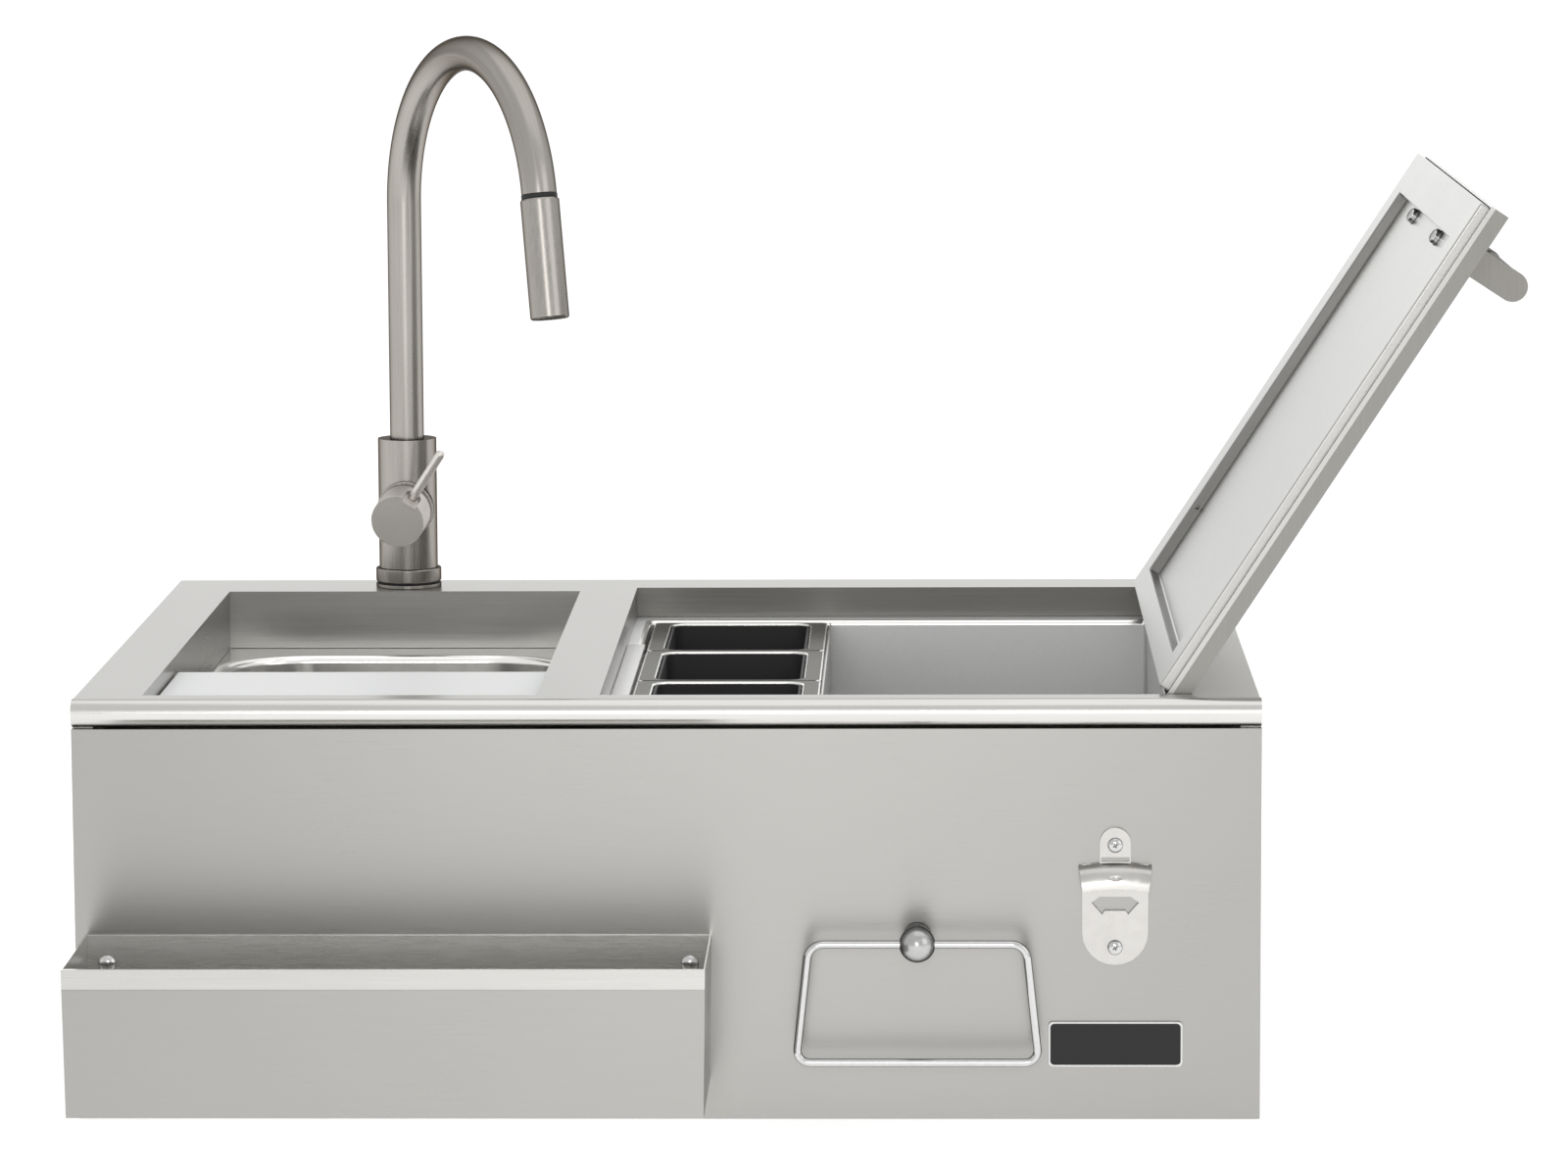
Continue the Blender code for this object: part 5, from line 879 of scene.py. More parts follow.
def fold_lid_pan():
    """The lid's outer pan, whose front and back skirts end in a pale hem under a pressed line."""
    outer = sheet_of("lid_pan")
    hem, line = LID_TOP - LID_SKIRT + 0.0032, 0.2 * MM
    # The tool reaches beyond both ends of the lid
    start, end = -0.40, 0.02
    for y in (LID_FRONT, LID_BACK):
        tool = block("line", (start, y - line, hem), (end, y + line, hem + 2 * line))
        cut(outer, put(tool, LID_TURN))
    closed = LID_TURN.inverted()

    # The front and back skirts above the hem take the darker side finish, painted shade on them
    def pick(middle, normal):
        if abs(normal.y) <= 0.5:
            return "lid_top"
        return "lid_edge" if (closed @ middle).z < hem + line else "lid_side"

    dress(outer, ("lid_top", "lid_side", "lid_edge"), pick)
    settle(outer, "lid", "lid_pan", smooth=SHEET_TURN)


def press_lid_liner():
    """The lid's inner sheet, with a shallow recess pressed into it and a rivet in its wall."""
    side = 0.004
    x0, x1 = LID_FREE + 0.0018, LID_HINGED - side
    y0, y1 = LID_FRONT + side, LID_BACK - side
    low, high = LID_FOOT, LID_TOP - 0.0013
    recess_x0, recess_x1 = LID_FREE + 0.033, LID_HINGED - 0.023
    recess_y0, recess_y1 = LID_FRONT + 0.050, LID_BACK - 0.050

    def in_recess(p):
        return (recess_x0 - MM / 2 < p.x < recess_x1 + MM / 2
                and recess_y0 - MM / 2 < p.y < recess_y1 + MM / 2)

    def outside(a, b):
        """True on the upright corners and along the foot of the four outer walls."""
        along_y = abs(a.x - b.x) < NEAR and min(abs(a.x - x0), abs(a.x - x1)) < NEAR
        along_x = abs(a.y - b.y) < NEAR and min(abs(a.y - y0), abs(a.y - y1)) < NEAR
        upright = abs(a.z - b.z) > LID_RECESS + MM
        return upright or max(a.z, b.z) < low + NEAR and (along_x or along_y)

    liner = start_box("lid_liner.pressed", (x0, y0, low), (x1, y1, high))
    open_top(liner)
    choose(liner, "faces", lambda middle, normal: normal.z < -0.5)
    extrude((0, 0, 0))
    scale_about(((x0 + x1) / 2, (y0 + y1) / 2, low), (recess_x1 - recess_x0) / (x1 - x0),
                (recess_y1 - recess_y0) / (y1 - y0))
    bpy.ops.transform.translate(value=((recess_x0 + recess_x1 - x0 - x1) / 2,
                                       (recess_y0 + recess_y1 - y0 - y1) / 2, 0))
    extrude((0, 0, LID_RECESS))
    round_edges(liner, 1.6 * MM, 4, lambda a, b: in_recess(a) and in_recess(b))
    round_edges(liner, 1.2 * MM, 4, outside)
    close_edit()
    thicken(liner, MM)

    # Three lines are pressed along the front wall
    for rise in (2.0, 3.4, 5.2):
        cut(liner, block("line", (x0 - OVERRUN, y0 - OVERRUN, low + rise * MM),
                         (x1 + OVERRUN, y0 + 0.35 * MM, low + (rise + 0.45) * MM)))
    radius, sunk = 1.6 * MM, -0.3 * MM
    profile = [(TIP, sunk), (radius, sunk)] + dome(radius, 1.3 * MM, steps=6)
    rivet = turned("rivet", profile, sides=24)
    put(rivet, facing((recess_x1 - 0.058, recess_y1, low + 4.6 * MM), FORWARD))
    cut(liner, rivet, join=True)

    # The recess's walls take the dark wall finish, painted shade in the recess
    def pick(middle, normal):
        if in_recess(middle) and abs(normal.z) < 0.7:
            return "lid_wall"
        return "lid_edge" if abs(normal.y) > 0.7 else "lid"

    dress(liner, ("lid", "lid_edge", "lid_wall"), pick)
    put(liner, LID_TURN)
    settle(liner, "lid", "lid_liner", smooth=ROUND_TURN)


class BAR_OT_lid(bpy.types.Operator):
    """Fold the lid's outer pan and press the panel into its liner"""
    bl_idname = "bar.lid"
    bl_label = "Lid"

    def execute(self, context):
        fold_lid_pan()
        press_lid_liner()
        weld_on("chrome", "chrome", "hinge_pin_front", "hinge_pin_back", ease=0.2 * MM)
        return {"FINISHED"}


class BAR_OT_handle(bpy.types.Operator):
    """Round the two handle posts, turn the bar between them and their dome nuts"""
    bl_idname = "bar.handle"
    bl_label = "Lid handle"

    def execute(self, context):
        foot, half, thick = 0.0040, 0.0105, 0.005
        front, to_back = HANDLE_Y - HANDLE_REACH, (0, 2 * HANDLE_REACH, 0)
        post = start_box("handle_post_front.cut", (HANDLE_X - half, front - thick / 2, foot),
                         (HANDLE_X + half, front + thick / 2, HANDLE_RISE + half))
        # A little less than the half width, so that the two corners don't quite meet
        round_edges(post, half * 0.999, 24,
                    lambda a, b: abs(a.y - b.y) > MM and min(a.z, b.z) > HANDLE_RISE)
        close_edit()
        posts = [post, another(post, "handle_post_back.cut", to_back)]

        seat = LID_FOOT + LID_RECESS - GAP
        radius, washer, deep = 0.0054, 0.0060, 0.0030
        profile = raised(seat, [(washer, 0), (washer, -0.0008), (radius, -0.0010)])
        nut = turned("handle_nut_front.domed", profile + dome(radius, -deep, seat - deep, steps=8),
                     sides=SMALL_ROUND)
        put(nut, Matrix.Translation((HANDLE_X, front, 0)))
        nuts = [nut, another(nut, "handle_nut_back.domed", to_back)]

        # The posts take the darker post finish, painted shade on them
        for where, post, nut in zip(("front", "back"), posts, nuts):
            settle(put(post, LID_TURN), "lid", f"handle_post_{where}", "post",
                   ease=0.5 * MM)
            settle(put(nut, LID_TURN), "lid", f"handle_nut_{where}", "chrome",
                   ease=0.15 * MM)

        reach = HANDLE_REACH - thick / 2 + 0.0017
        radius, chamfer = 0.0095, 0.0015
        profile = [(TIP, -reach), (radius - chamfer, -reach), (radius, -reach + chamfer),
                   (radius, reach - chamfer), (radius - chamfer, reach), (TIP, reach)]
        bar = turned("handle_tube.turned", profile)
        put(bar, facing((HANDLE_X, HANDLE_Y, HANDLE_RISE), (0, 1, 0)))
        settle(put(bar, LID_TURN), "lid", "handle_tube", "satin")
        return {"FINISHED"}


# Faucet

def turn_foot_ring(node, low, height, ease):
    """One of the two flat rings that the faucet's body stands on."""
    wide, high = 0.0247, low + height
    profile = [(FAUCET_BORE, low), (wide, low), (wide, high), (FAUCET_BORE, high)]
    ring = put(turned(f"{node}.turned", profile, ring=True), Matrix.Translation(FAUCET))
    settle(ring, "casing", node, "satin", ease=ease)


class BAR_OT_faucet(bpy.types.Operator):
    """Turn the faucet's foot, base ring, body and side collar"""
    bl_idname = "bar.faucet"
    bl_label = "Faucet body"

    def execute(self, context):
        turn_foot_ring("faucet_plate", GAP, 0.0025, ease=0.4 * MM)
        turn_foot_ring("faucet_base_ring", 0.0044, 0.0102, ease=0.9 * MM)
        weld_on("rubber", "rubber", "faucet_gasket")
        weld_on("plated", "zinc", "faucet_shank", ease=0.2 * MM)
        weld_on("rubber", "rubber", "deck_washer", ease=0.2 * MM)
        weld_on("plated", "zinc", "deck_nut", ease=0.4 * MM)

        radius = 0.0221
        profile = [(FAUCET_BORE, BODY_FOOT), (radius, BODY_FOOT), (radius, BODY_TOP),
                   (FAUCET_BORE, BODY_TOP)]
        body = turned("faucet_body.turned", profile, ring=True)
        # The collar that carries the valve stands out of the body's front and is bored from there
        collar, near, far = 0.0213, 0.0175, 0.0258
        ahead = facing((0, 0, COLLAR_RISE), FORWARD)
        profile = [(TIP, near), (collar, near), (collar, far), (TIP, far)]
        cut(body, put(turned("collar", profile), ahead), join=True)
        cut(body, put(turned("bore", [(0.0152, 0.0100), (0.0152, 0.0300)]), ahead))
        put(body, Matrix.Translation(FAUCET))
        settle(body, "casing", "faucet_body", "satin", ease=0.5 * MM, smooth=30)
        return {"FINISHED"}


def keep_unbent(neck, centre):
    """Store each point's place on the straight tube, for the brushing to follow."""
    straight = neck.data.attributes.new("unbent", "FLOAT_VECTOR", "POINT")
    aside = UP.cross(NECK_AHEAD)
    for vert in neck.data.vertices:
        from_foot = vert.co - FAUCET
        out, height = (from_foot - centre).dot(NECK_AHEAD), from_foot.z - NECK_RISE
        turn = math.atan2(height, -out) if height > 0 or out > 0 else 0
        across = NECK_BEND - math.hypot(out, height) if turn else out + NECK_BEND
        along = NECK_RISE + NECK_BEND * (turn % (2 * math.pi)) if turn else from_foot.z
        straight.data[vert.index].vector = (across, from_foot.dot(aside), along)


def neck_end():
    """Where the gooseneck ends and the way that its mouth points."""
    end = NECK_AHEAD * NECK_BEND * (1 - math.cos(NECK_SWEEP))
    end += Vector((0, 0, NECK_RISE + NECK_BEND * math.sin(NECK_SWEEP)))
    splay = math.pi - NECK_SWEEP
    way = NECK_AHEAD * math.sin(splay) - Vector((0, 0, math.cos(splay)))
    return FAUCET + end, way.normalized()


class BAR_OT_spout(bpy.types.Operator):
    """Spin the gooseneck over its bend and add the ring that the spray head docks in"""
    bl_idname = "bar.spout"
    bl_label = "Gooseneck"

    def execute(self, context):
        start, lengths = BODY_TOP - 0.018, 6
        neck = start_circle("spout.bent", 0.0128, start, 64)
        for _ in range(lengths):
            extrude((0, 0, (NECK_RISE - start) / lengths))
        centre = NECK_AHEAD * NECK_BEND + Vector((0, 0, NECK_RISE))
        bpy.ops.mesh.spin(steps=84, angle=NECK_SWEEP, center=centre, axis=NECK_AHEAD.cross(UP))
        bpy.ops.mesh.select_all(action="SELECT")
        bpy.ops.mesh.remove_doubles(threshold=0.01 * MM)
        close_outward()
        thicken(neck, 0.0013)
        put(neck, Matrix.Translation(FAUCET))
        settle(neck, "spout", "spout", "satin_bent", ease=0.25 * MM, smooth=ROUND_TURN)
        keep_unbent(neck, centre)

        inside, outside, far = 0.009, 0.0131, 0.0032
        profile = [(inside, GAP), (outside, GAP), (outside, far), (inside, far)]
        ring = put(turned("spout_dock_ring.moulded", profile, ring=True), facing(*neck_end()))
        settle(ring, "spout", "spout_dock_ring", "rubber", ease=0.3 * MM)
        return {"FINISHED"}


class BAR_OT_spray(bpy.types.Operator):
    """Turn the pull-down spray head, mould its nozzle and thread its hose"""
    bl_idname = "bar.spray"
    bl_label = "Spray head"

    def execute(self, context):
        end, way = neck_end()
        low, high = HEAD_FOOT, HEAD_END
        bore, radius, edge, mouth = 0.0058, 0.0141, 0.0131, 0.0112
        chamfer, deep = 0.0012, 0.004
        profile = [(bore, low + 0.022), (bore, low), (edge, low), (radius, low + chamfer),
                   (radius, high - chamfer), (edge, high), (mouth, high), (mouth, high - deep),
                   (TIP, high - deep)]
        head = put(turned("spray_head.turned", profile), facing(end, way))
        settle(head, "spray_head", "spray_head", "satin", ease=0.25 * MM)

        face = high - 0.0037
        profile = [(TIP, 0), (0.0109, 0), (0.0109, 0.0022), (0.0098, 0.0030), (TIP, 0.0030)]
        nozzle = turned("spray_nozzle.moulded", raised(face, profile))
        profile = [(TIP, 0.0029), (0.0009, 0.0029), (0.0006, 0.0036), (TIP, 0.0036)]
        nub = turned("nub", raised(face, profile), sides=12)
        nubs = [another(nub, "nub", place) for place in spaced((0.0035, 6), (0.0072, 12))]
        put(joined(nozzle, [nub, *nubs]), facing(end, way))
        settle(nozzle, "spray_head", "spray_nozzle", "rubber")

        inside_neck, steps = 0.020, 60
        length = inside_neck + low + 0.012
        profile = [(0.0055, -inside_neck + length * n / steps) for n in range(steps + 1)]
        hose = put(turned("spray_hose.braided", profile, sides=SMALL_ROUND), facing(end, way))
        bpy.ops.object.shade_smooth_by_angle(angle=math.radians(ROUND_TURN))
        hose.data.materials.append(FINISH["rubber"])
        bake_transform(hose)
        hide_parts("spray_hose")
        return {"FINISHED"}


def turn_stem(at):
    """The valve's stem: a collar with a ball on it."""
    ball, collar, foot, top = 0.0160, 0.0149, -0.0165, -0.0055
    start, steps = -1.2, 20
    turns = [start + (math.pi / 2 - start) * n / steps for n in range(steps)]
    round_part = [(ball * math.cos(a), ball * math.sin(a)) for a in turns]
    above = [(across, height) for across, height in round_part if height > -0.0050]
    profile = [(TIP, foot), (collar, foot), (collar, top)] + above + [(TIP, ball)]
    stem = put(turned("valve_stem.turned", profile), facing(at, FORWARD))
    settle(stem, "valve", "valve_stem", "chrome", smooth=ROUND_TURN)


def turn_cap(place, lever_way):
    """The cap over the ball, with a slot milled through it for the lever."""
    ball, radius, face, steps = 0.0165, 0.0200, 0.0255, 12
    turns = [math.pi / 2 * n / steps for n in range(1, steps + 1)]
    hollow = [(ball * math.sin(a), ball * math.cos(a)) for a in turns]
    profile = [(TIP, ball)] + hollow + [(radius, 0), (radius, face), (TIP, face)]
    cap = put(turned("valve_cap.turned", profile), facing((0, 0, 0), FORWARD))
    half = 0.006
    mill = start_box("mill", (-half, -0.0305, ball), (half, -0.006, 0.0240))
    round_edges(mill, half - NEAR, 12, lambda a, b: abs(a.z - b.z) > MM and max(a.y, b.y) > -0.010)
    close_edit()
    cut(cap, put(mill, facing((0, 0, 0), lever_way)))
    put(cap, place)
    settle(cap, "valve_handle", "valve_cap", "mopped", ease=0.5 * MM, smooth=30)


def turn_lever(place, lever_way):
    """The pin lever, round at its tip."""
    radius, foot, tip = 0.0035, 0.0168, 0.0617
    profile = [(TIP, foot), (radius, foot)] + dome(radius, radius, tip - radius)
    lever = turned("valve_lever.turned", profile, sides=SMALL_ROUND)
    put(lever, facing((0, -0.0115, 0), lever_way))
    put(lever, place)
    settle(lever, "valve_handle", "valve_lever", "mopped", smooth=ROUND_TURN)


class BAR_OT_valve(bpy.types.Operator):
    """Turn the valve's ball, its cap with the milled slot, and the pin lever"""
    bl_idname = "bar.valve"
    bl_label = "Valve"

    def execute(self, context):
        at = FAUCET + Vector((0, -0.031, COLLAR_RISE))
        swing, lean = math.radians(33), math.radians(14)
        lever_way = Vector((math.sin(swing), 0, math.cos(swing)))
        place = Matrix.Translation(at) @ Matrix.Rotation(-lean, 4, FORWARD.cross(lever_way))
        turn_stem(at)
        turn_cap(place, lever_way)
        turn_lever(place, lever_way)
        return {"FINISHED"}


# Fittings on the apron

def fold_rail():
    """The speed rail, with a pressed line under its folded top edge."""
    rail = sheet_of("speed_rail")
    low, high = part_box("speed_rail")
    hem, line = high.z - 0.0135, 0.2 * MM
    cut(rail, block("score", (low.x - OVERRUN, low.y - OVERRUN, hem - line),
                    (high.x + OVERRUN, low.y + 0.15 * MM, hem + line)))

    # The hem's paler strip and the pale bends are painted highlight, and the much paler inside is
    # painted light between the walls
    def pick(middle, normal):
        if normal.y < -0.9 and middle.y < low.y + MM / 2:
            return "hem" if middle.z > hem else "brushed"
        if bent(normal) or normal.z > 0.9 and middle.z > high.z - NEAR:
            return "bend"
        inside = (low.x + MM < middle.x < high.x - MM and low.y + MM < middle.y < high.y - MM / 2)
        return "rail_inside" if inside else "brushed"

    dress(rail, ("brushed", "bend", "hem", "rail_inside"), pick)
    settle(rail, "casing", "speed_rail", ease=0.3 * MM, smooth=SHEET_TURN)


class BAR_OT_rail(bpy.types.Operator):
    """Fold the speed rail and turn its two dome-headed bolts"""
    bl_idname = "bar.rail"
    bl_label = "Speed rail"

    def execute(self, context):
        fold_rail()
        for node in ("rail_bolt_left", "rail_bolt_right"):
            low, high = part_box(node)
            middle = (low + high) / 2
            bolt = domed(f"{node}.domed", stem=0.003, length=0.006, radius=0.006, edge=0.0006,
                         rise=0.0034, steps=10)
            put(bolt, facing((middle.x, low.y + 0.004, middle.z), FORWARD))
            settle(bolt, "casing", node, "chrome", smooth=ROUND_TURN)
        return {"FINISHED"}


def turn_ring_post(at):
    """The ball post, bored for the ring's wire."""
    base, plate, stem, ball, steps = 0.0317, 0.009, 0.0055, 0.012, 36
    start = math.asin(stem / ball)
    turns = [start + (math.pi - start) * n / steps for n in range(steps)]
    profile = [(TIP, -base), (plate, -base), (plate, -base + 0.003), (stem, -base + 0.003)]
    profile += [(ball * math.sin(a), -ball * math.cos(a)) for a in turns] + [(TIP, ball)]
    post = put(turned("ring_post.turned", profile), facing(at, FORWARD))
    bore, reach = 0.0032, 0.016
    cut(post, put(turned("bore", [(bore, -reach), (bore, reach)], sides=32), facing(at, (1, 0, 0))))
    settle(post, "casing", "ring_post", "satin_chrome", smooth=ROUND_TURN)


def bend_ring(at, radius):
    """The ring: wire bent to a rounded frame that is narrower at its top."""
    drop, top, foot = 0.080, 0.1442, 0.1615
    nothing_selected()
    bpy.ops.mesh.primitive_plane_add(size=1, location=(0, 0, 0))
    wire = begin("towel_ring.bent")
    scale_about((0, 0, 0), foot, drop)
    choose(wire, "verts", lambda p: p.y > 0)
    scale_about((0, drop / 2, 0), top / foot, 1)
    bpy.ops.mesh.select_all(action="SELECT")
    bpy.ops.mesh.bevel(offset=0.0095, segments=10, affect="VERTICES")
    select("faces", "SELECT")
    bpy.ops.mesh.delete(type="ONLY_FACE")
    close_edit()
    upright = Matrix.Rotation(math.pi / 2, 4, "X")
    put(wire, Matrix.Translation(at - Vector((0, 0, drop / 2))) @ upright)
    bpy.ops.object.convert(target="CURVE")
    bpy.context.object.data.bevel_depth = radius
    bpy.context.object.data.bevel_resolution = 6
    bpy.ops.object.convert(target="MESH")
    settle(bpy.context.object, "ring", "towel_ring", "chrome", smooth=60)


class BAR_OT_towel_ring(bpy.types.Operator):
    """Turn the ball post and bend the wire of the towel ring"""
    bl_idname = "bar.towel_ring"
    bl_label = "Towel ring"

    def execute(self, context):
        at = Vector((0.1677, APRON_FACE - 0.032, UNIT_TOP - 0.1596))
        turn_ring_post(at)
        bend_ring(at, context.scene.bar_sizes.wire_radius)
        return {"FINISHED"}


def stamp_opener():
    """The opener's plate and hood, with a dimple in the hood."""
    opener = sheet_of("bottle_opener")
    low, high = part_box("bottle_opener")
    middle_x, dimple_z = (low.x + high.x) / 2, 0.1665
    radius, deep, steps = 4 * MM, 1.5 * MM, 12
    turns = [math.pi * (n / steps - 0.5) for n in range(1, steps)]
    ball = [(radius * math.cos(a), deep * math.sin(a)) for a in turns]
    dent = turned("dent", [(TIP, -deep)] + ball + [(TIP, deep)])
    dent.scale = (1, 0.625, 1)
    before = Vector((middle_x, low.y - 0.05, dimple_z))
    found, spot, out, _ = opener.ray_cast(before, Vector((0, 1, 0)))
    if not found:
        raise RuntimeError("the opener's hood is not where its dimple goes")
    cut(opener, put(dent, facing(spot + out * 0.4 * MM, out)))

    # Undersides and the window's walls take the darker finish, painted shade under the hood and in
    # the window
    def pick(middle, normal):
        window = abs(middle.x - middle_x) < 0.018 and 0.125 < middle.z < 0.165
        return "sheared" if normal.z < -0.35 or abs(normal.y) < 0.3 and window else "cast"

    dress(opener, ("cast", "sheared"), pick)
    settle(opener, "casing", "bottle_opener", ease=0.3 * MM)


def turn_opener_screw(node):
    """A dome-headed screw with a cross in its head."""
    low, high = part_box(node)
    middle = (low + high) / 2
    screw = domed(f"{node}.driven", stem=0.002, length=0.007, radius=0.005, edge=0.0005,
                  rise=0.0023, steps=9)
    half, thick, foot = 0.0026, 0.0005, 0.0013
    for turn in (0.5, 0.5 + math.pi / 2):
        blade = start_box("blade", (-half, -thick, foot), (half, thick, 0.0040))
        choose(blade, "verts", lambda p: p.z < foot + MM / 2)
        scale_about((0, 0, foot), 0.35, 0.8)
        close_edit()
        cut(screw, put(blade, Matrix.Rotation(turn, 4, "Z")))

    # The cross's walls and floor take the darker finish, painted shade in the cross
    def pick(middle, normal):
        cross = math.hypot(middle.x, middle.y) < 2.8 * MM and middle.z > 1.2 * MM
        return "sheared" if cross and (abs(normal.z) < 0.5 or middle.z < 1.4 * MM) else "chrome"

    dress(screw, ("chrome", "sheared"), pick)
    put(screw, facing((middle.x, low.y + 0.0028, middle.z), FORWARD))
    settle(screw, "casing", node, smooth=ROUND_TURN)


class BAR_OT_opener(bpy.types.Operator):
    """Stamp the bottle opener's plate and hood and turn its screws"""
    bl_idname = "bar.opener"
    bl_label = "Bottle opener"

    def execute(self, context):
        stamp_opener()
        turn_opener_screw("opener_screw_upper")
        turn_opener_screw("opener_screw_lower")
        return {"FINISHED"}


class BAR_OT_name_plate(bpy.types.Operator):
    """Form the blank name plate with its bright raised border"""
    bl_idname = "bar.name_plate"
    bl_label = "Blank name plate"

    def execute(self, context):
        low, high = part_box("name_plate")
        middle, wide, tall = (low + high) / 2, high.x - low.x, high.z - low.z
        border = context.scene.bar_sizes.plate_border
        plate = start_box("name_plate.stamped", low, high)
        round_edges(plate, 3 * MM, 8, lambda a, b: abs(a.y - b.y) > MM)
        choose(plate, "faces", lambda c, normal: normal.y < -0.5)
        extrude((0, 0, 0))
        scale_about(middle, 1 - 2 * border / wide, 1, 1 - 2 * border / tall)
        extrude((0, 0.4 * MM, 0))
        close_edit()
        change(plate, "BEVEL", width=0.15 * MM, segments=3, limit_method="ANGLE",
               angle_limit=math.radians(ROUND_TURN))

        def pick(place, normal):
            inside = (abs(place.x - middle.x) < wide / 2 - border
                      and abs(place.z - middle.z) < tall / 2 - border
                      and low.y + 0.3 * MM < place.y < high.y - 0.3 * MM)
            return "enamel" if inside else "chrome"

        dress(plate, ("chrome", "enamel"), pick)
        settle(plate, "casing", "name_plate", smooth=ROUND_TURN)
        return {"FINISHED"}


# Stage

def seen_by_camera(tree):
    """1 for rays that show the surroundings themselves: seen, mirrored or through glass."""
    path = add(tree, "ShaderNodeLightPath").outputs
    seen = path["Is Camera Ray"]
    for ray in ("Is Glossy Ray", "Is Transmission Ray"):
        seen = add(tree, "ShaderNodeMath", {0: seen, 1: path[ray]}, operation="MAXIMUM").outputs[0]
    return seen


def lay_floor(backdrop):
    """A floor of white paper, which glows where it is seen and less where it is only mirrored."""
    nothing_selected()
    bpy.ops.mesh.primitive_plane_add(size=60, location=(0, 0, -0.4 * MM))
    floor = begin("floor")
    bpy.ops.mesh.subdivide(number_cuts=3)
    close_edit()
    paper = bpy.data.materials.new("white_paper")
    paper.use_nodes = True
    tree = paper.node_tree
    tree.nodes.clear()
    seen = seen_by_camera(tree)
    mirrored = tree.nodes["Light Path"].outputs["Is Glossy Ray"]
    bright = add(tree, "ShaderNodeMath", {0: mirrored, 1: 0.4, 2: 0.6}, operation="MULTIPLY_ADD")
    matt = add(tree, "ShaderNodeBsdfDiffuse", {"Color": (*[0.8 * c for c in backdrop], 1)})
    glow = add(tree, "ShaderNodeEmission", {"Color": (*backdrop, 1), "Strength": bright.outputs[0]})
    none = add(tree, "ShaderNodeEmission", {"Strength": 0})
    lift = add(tree, "ShaderNodeMixShader", {0: seen, 1: none.outputs[0], 2: glow.outputs[0]})
    both = add(tree, "ShaderNodeAddShader", {0: matt.outputs[0], 1: lift.outputs[0]})
    add(tree, "ShaderNodeOutputMaterial", {"Surface": both.outputs[0]})
    floor.data.materials.append(paper)


def light_surroundings(scene, backdrop):
    """Surroundings that look white and light the unit less than they look."""
    world = scene.world or bpy.data.worlds.new("surroundings")
    scene.world = world
    world.use_nodes = True
    tree = world.node_tree
    tree.nodes.clear()
    seen = seen_by_camera(tree)
    plain, white = [add(tree, "ShaderNodeBackground", {"Color": (*backdrop, 1), "Strength": glow})
                    for glow in (0.6, 1)]
    sky = add(tree, "ShaderNodeMixShader", {0: seen, 1: plain.outputs[0], 2: white.outputs[0]})
    add(tree, "ShaderNodeOutputWorld", {"Surface": sky.outputs[0]})


def hang_lamps(scene, stage):
    """Four rectangular lamps, aimed at the middle of the unit."""
    aim = Vector((0, 0, 0.25))
    for name, place, size_x, size_y, watts in (
            ("key", (-0.07, -5.5, 1.3), 1.3, 1.8, stage.key_watts),
            ("fill", (2.8, -2.2, 1.6), 2.0, 2.0, stage.fill_watts),
            ("top", (0.5, 0.2, 2.8), 3.2, 2.8, stage.top_watts),
            ("back", (0.2, 4.5, 1.3), 3.5, 1.0, stage.back_watts)):
        lamp = bpy.data.lights.new(name, "AREA")
        lamp.shape = "RECTANGLE"
        lamp.size, lamp.size_y, lamp.energy = size_x, size_y, watts
        holder = bpy.data.objects.new(name, lamp)
        scene.collection.objects.link(holder)
        holder.location = place
        holder.rotation_euler = (aim - Vector(place)).to_track_quat("-Z", "Y").to_euler()


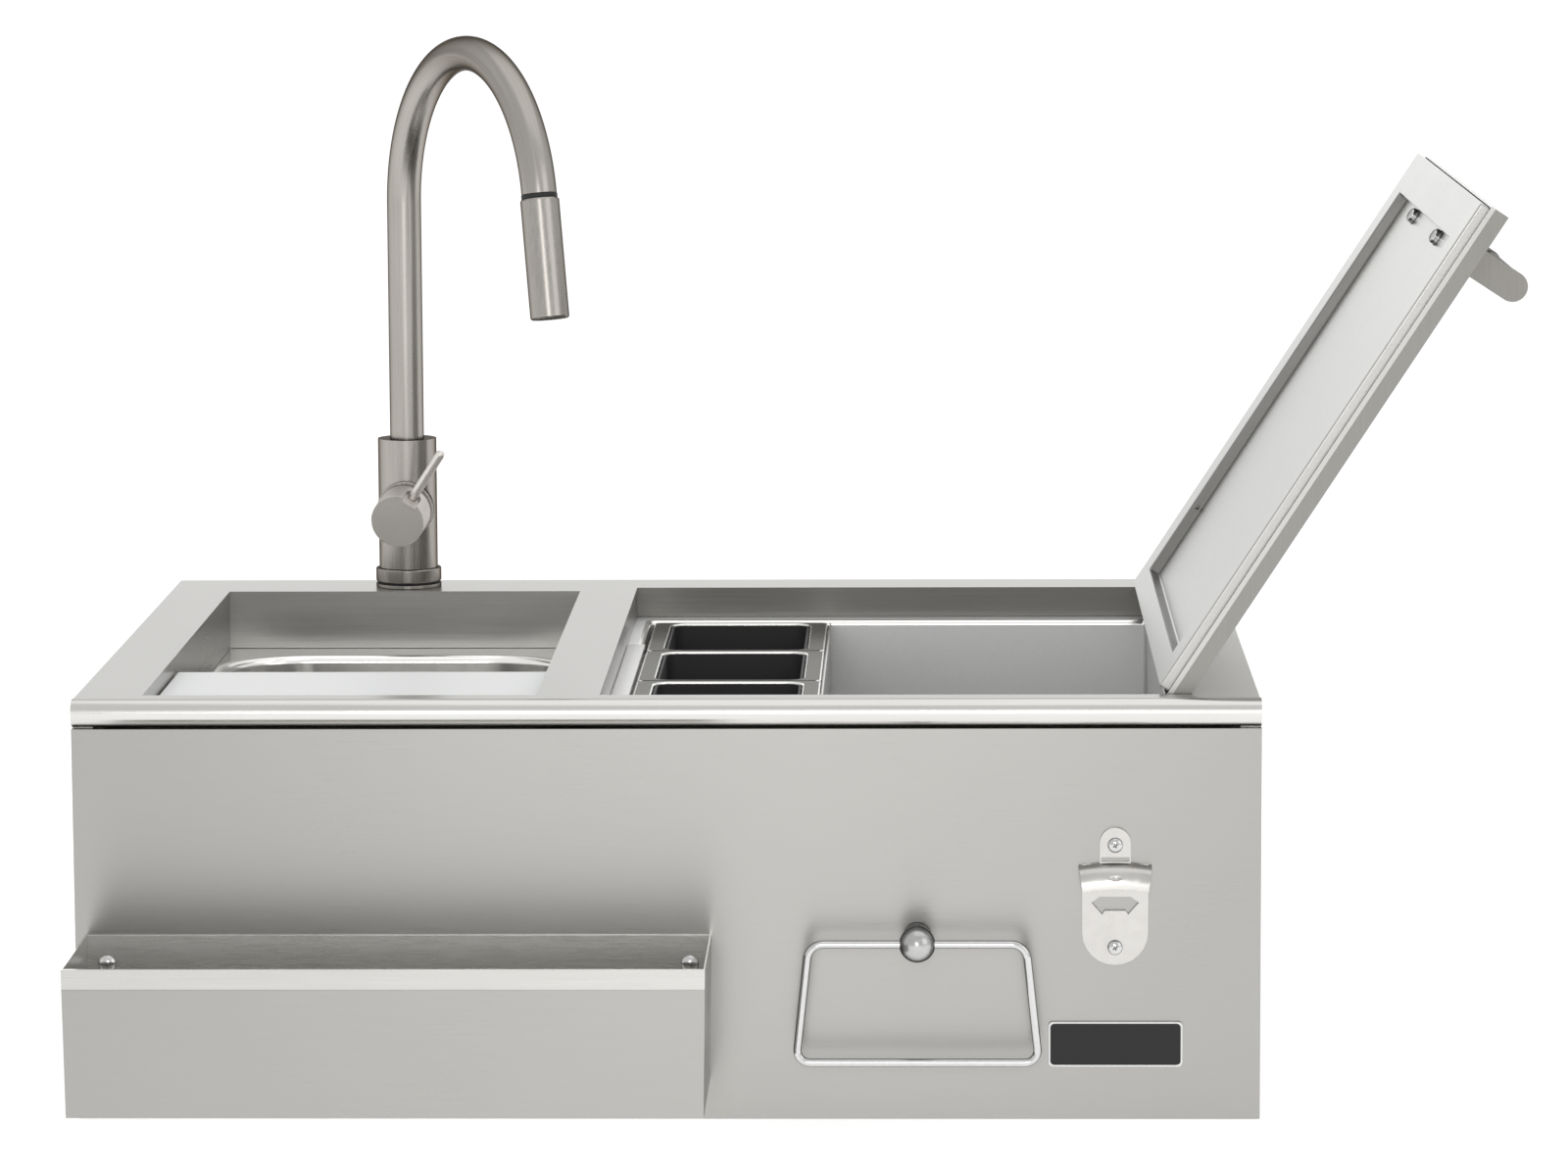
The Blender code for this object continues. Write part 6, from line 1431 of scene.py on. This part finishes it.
def stand_camera(scene, focal_length):
    """The camera that was fitted to the photograph, by its place and its three turns."""
    place = (0.1751, -4.2704, 0.9004)
    yaw, pitch, roll = math.radians(1.376), math.radians(7.747), -0.00472
    lens = bpy.data.cameras.new("camera")
    lens.lens, lens.sensor_width, lens.clip_end = focal_length, 36, 200
    camera = bpy.data.objects.new("camera", lens)
    scene.collection.objects.link(camera)
    ahead = Vector((-math.sin(yaw) * math.cos(pitch), math.cos(yaw) * math.cos(pitch),
                    -math.sin(pitch)))
    right = Vector((math.cos(yaw), math.sin(yaw), 0))
    up = right.cross(ahead)
    right, up = (right * math.cos(roll) + up * math.sin(roll),
                 up * math.cos(roll) - right * math.sin(roll))
    turn = Matrix((right, up, -ahead)).transposed().to_4x4()
    camera.matrix_world = Matrix.Translation(place) @ turn
    scene.camera = camera


class BAR_OT_stage(bpy.types.Operator):
    """Set the floor, the surroundings, the lights and the camera"""
    bl_idname = "bar.stage"
    bl_label = "Stage"

    def execute(self, context):
        scene, stage = context.scene, context.scene.bar_stage
        lay_floor(stage.backdrop)
        light_surroundings(scene, stage.backdrop)
        hang_lamps(scene, stage)
        stand_camera(scene, stage.lens)
        scene.view_settings.view_transform = "Standard"
        return {"FINISHED"}


class BAR_PT_unit(bpy.types.Panel):
    """The unit's sizes, its stage and its build steps"""
    bl_label = "Bar unit"
    bl_idname = "BAR_PT_unit"
    bl_space_type = "VIEW_3D"
    bl_region_type = "UI"
    bl_category = "Bar unit"

    def draw(self, context):
        for group in (context.scene.bar_sizes, context.scene.bar_stage):
            for key in group.__annotations__:
                self.layout.prop(group, key)
        for step in STEPS:
            self.layout.operator(step.bl_idname)


STEPS = (BAR_OT_deck, BAR_OT_casing, BAR_OT_sink, BAR_OT_board, BAR_OT_bin, BAR_OT_pans, BAR_OT_lid,
         BAR_OT_handle, BAR_OT_faucet, BAR_OT_spout, BAR_OT_spray, BAR_OT_valve, BAR_OT_rail,
         BAR_OT_towel_ring, BAR_OT_opener, BAR_OT_name_plate, BAR_OT_stage)
CLASSES = (BarSizes, BarStage, *STEPS, BAR_PT_unit)


def register():
    for kind in CLASSES:
        bpy.utils.register_class(kind)
    bpy.types.Scene.bar_sizes = bpy.props.PointerProperty(type=BarSizes)
    bpy.types.Scene.bar_stage = bpy.props.PointerProperty(type=BarStage)


def unregister():
    del bpy.types.Scene.bar_sizes
    del bpy.types.Scene.bar_stage
    for kind in reversed(CLASSES):
        bpy.utils.unregister_class(kind)


def main():
    register()
    make_finishes()
    for step in STEPS:
        group, name = step.bl_idname.split(".")
        getattr(getattr(bpy.ops, group), name)()
    nothing_selected()


if __name__ == "__main__":
    main()
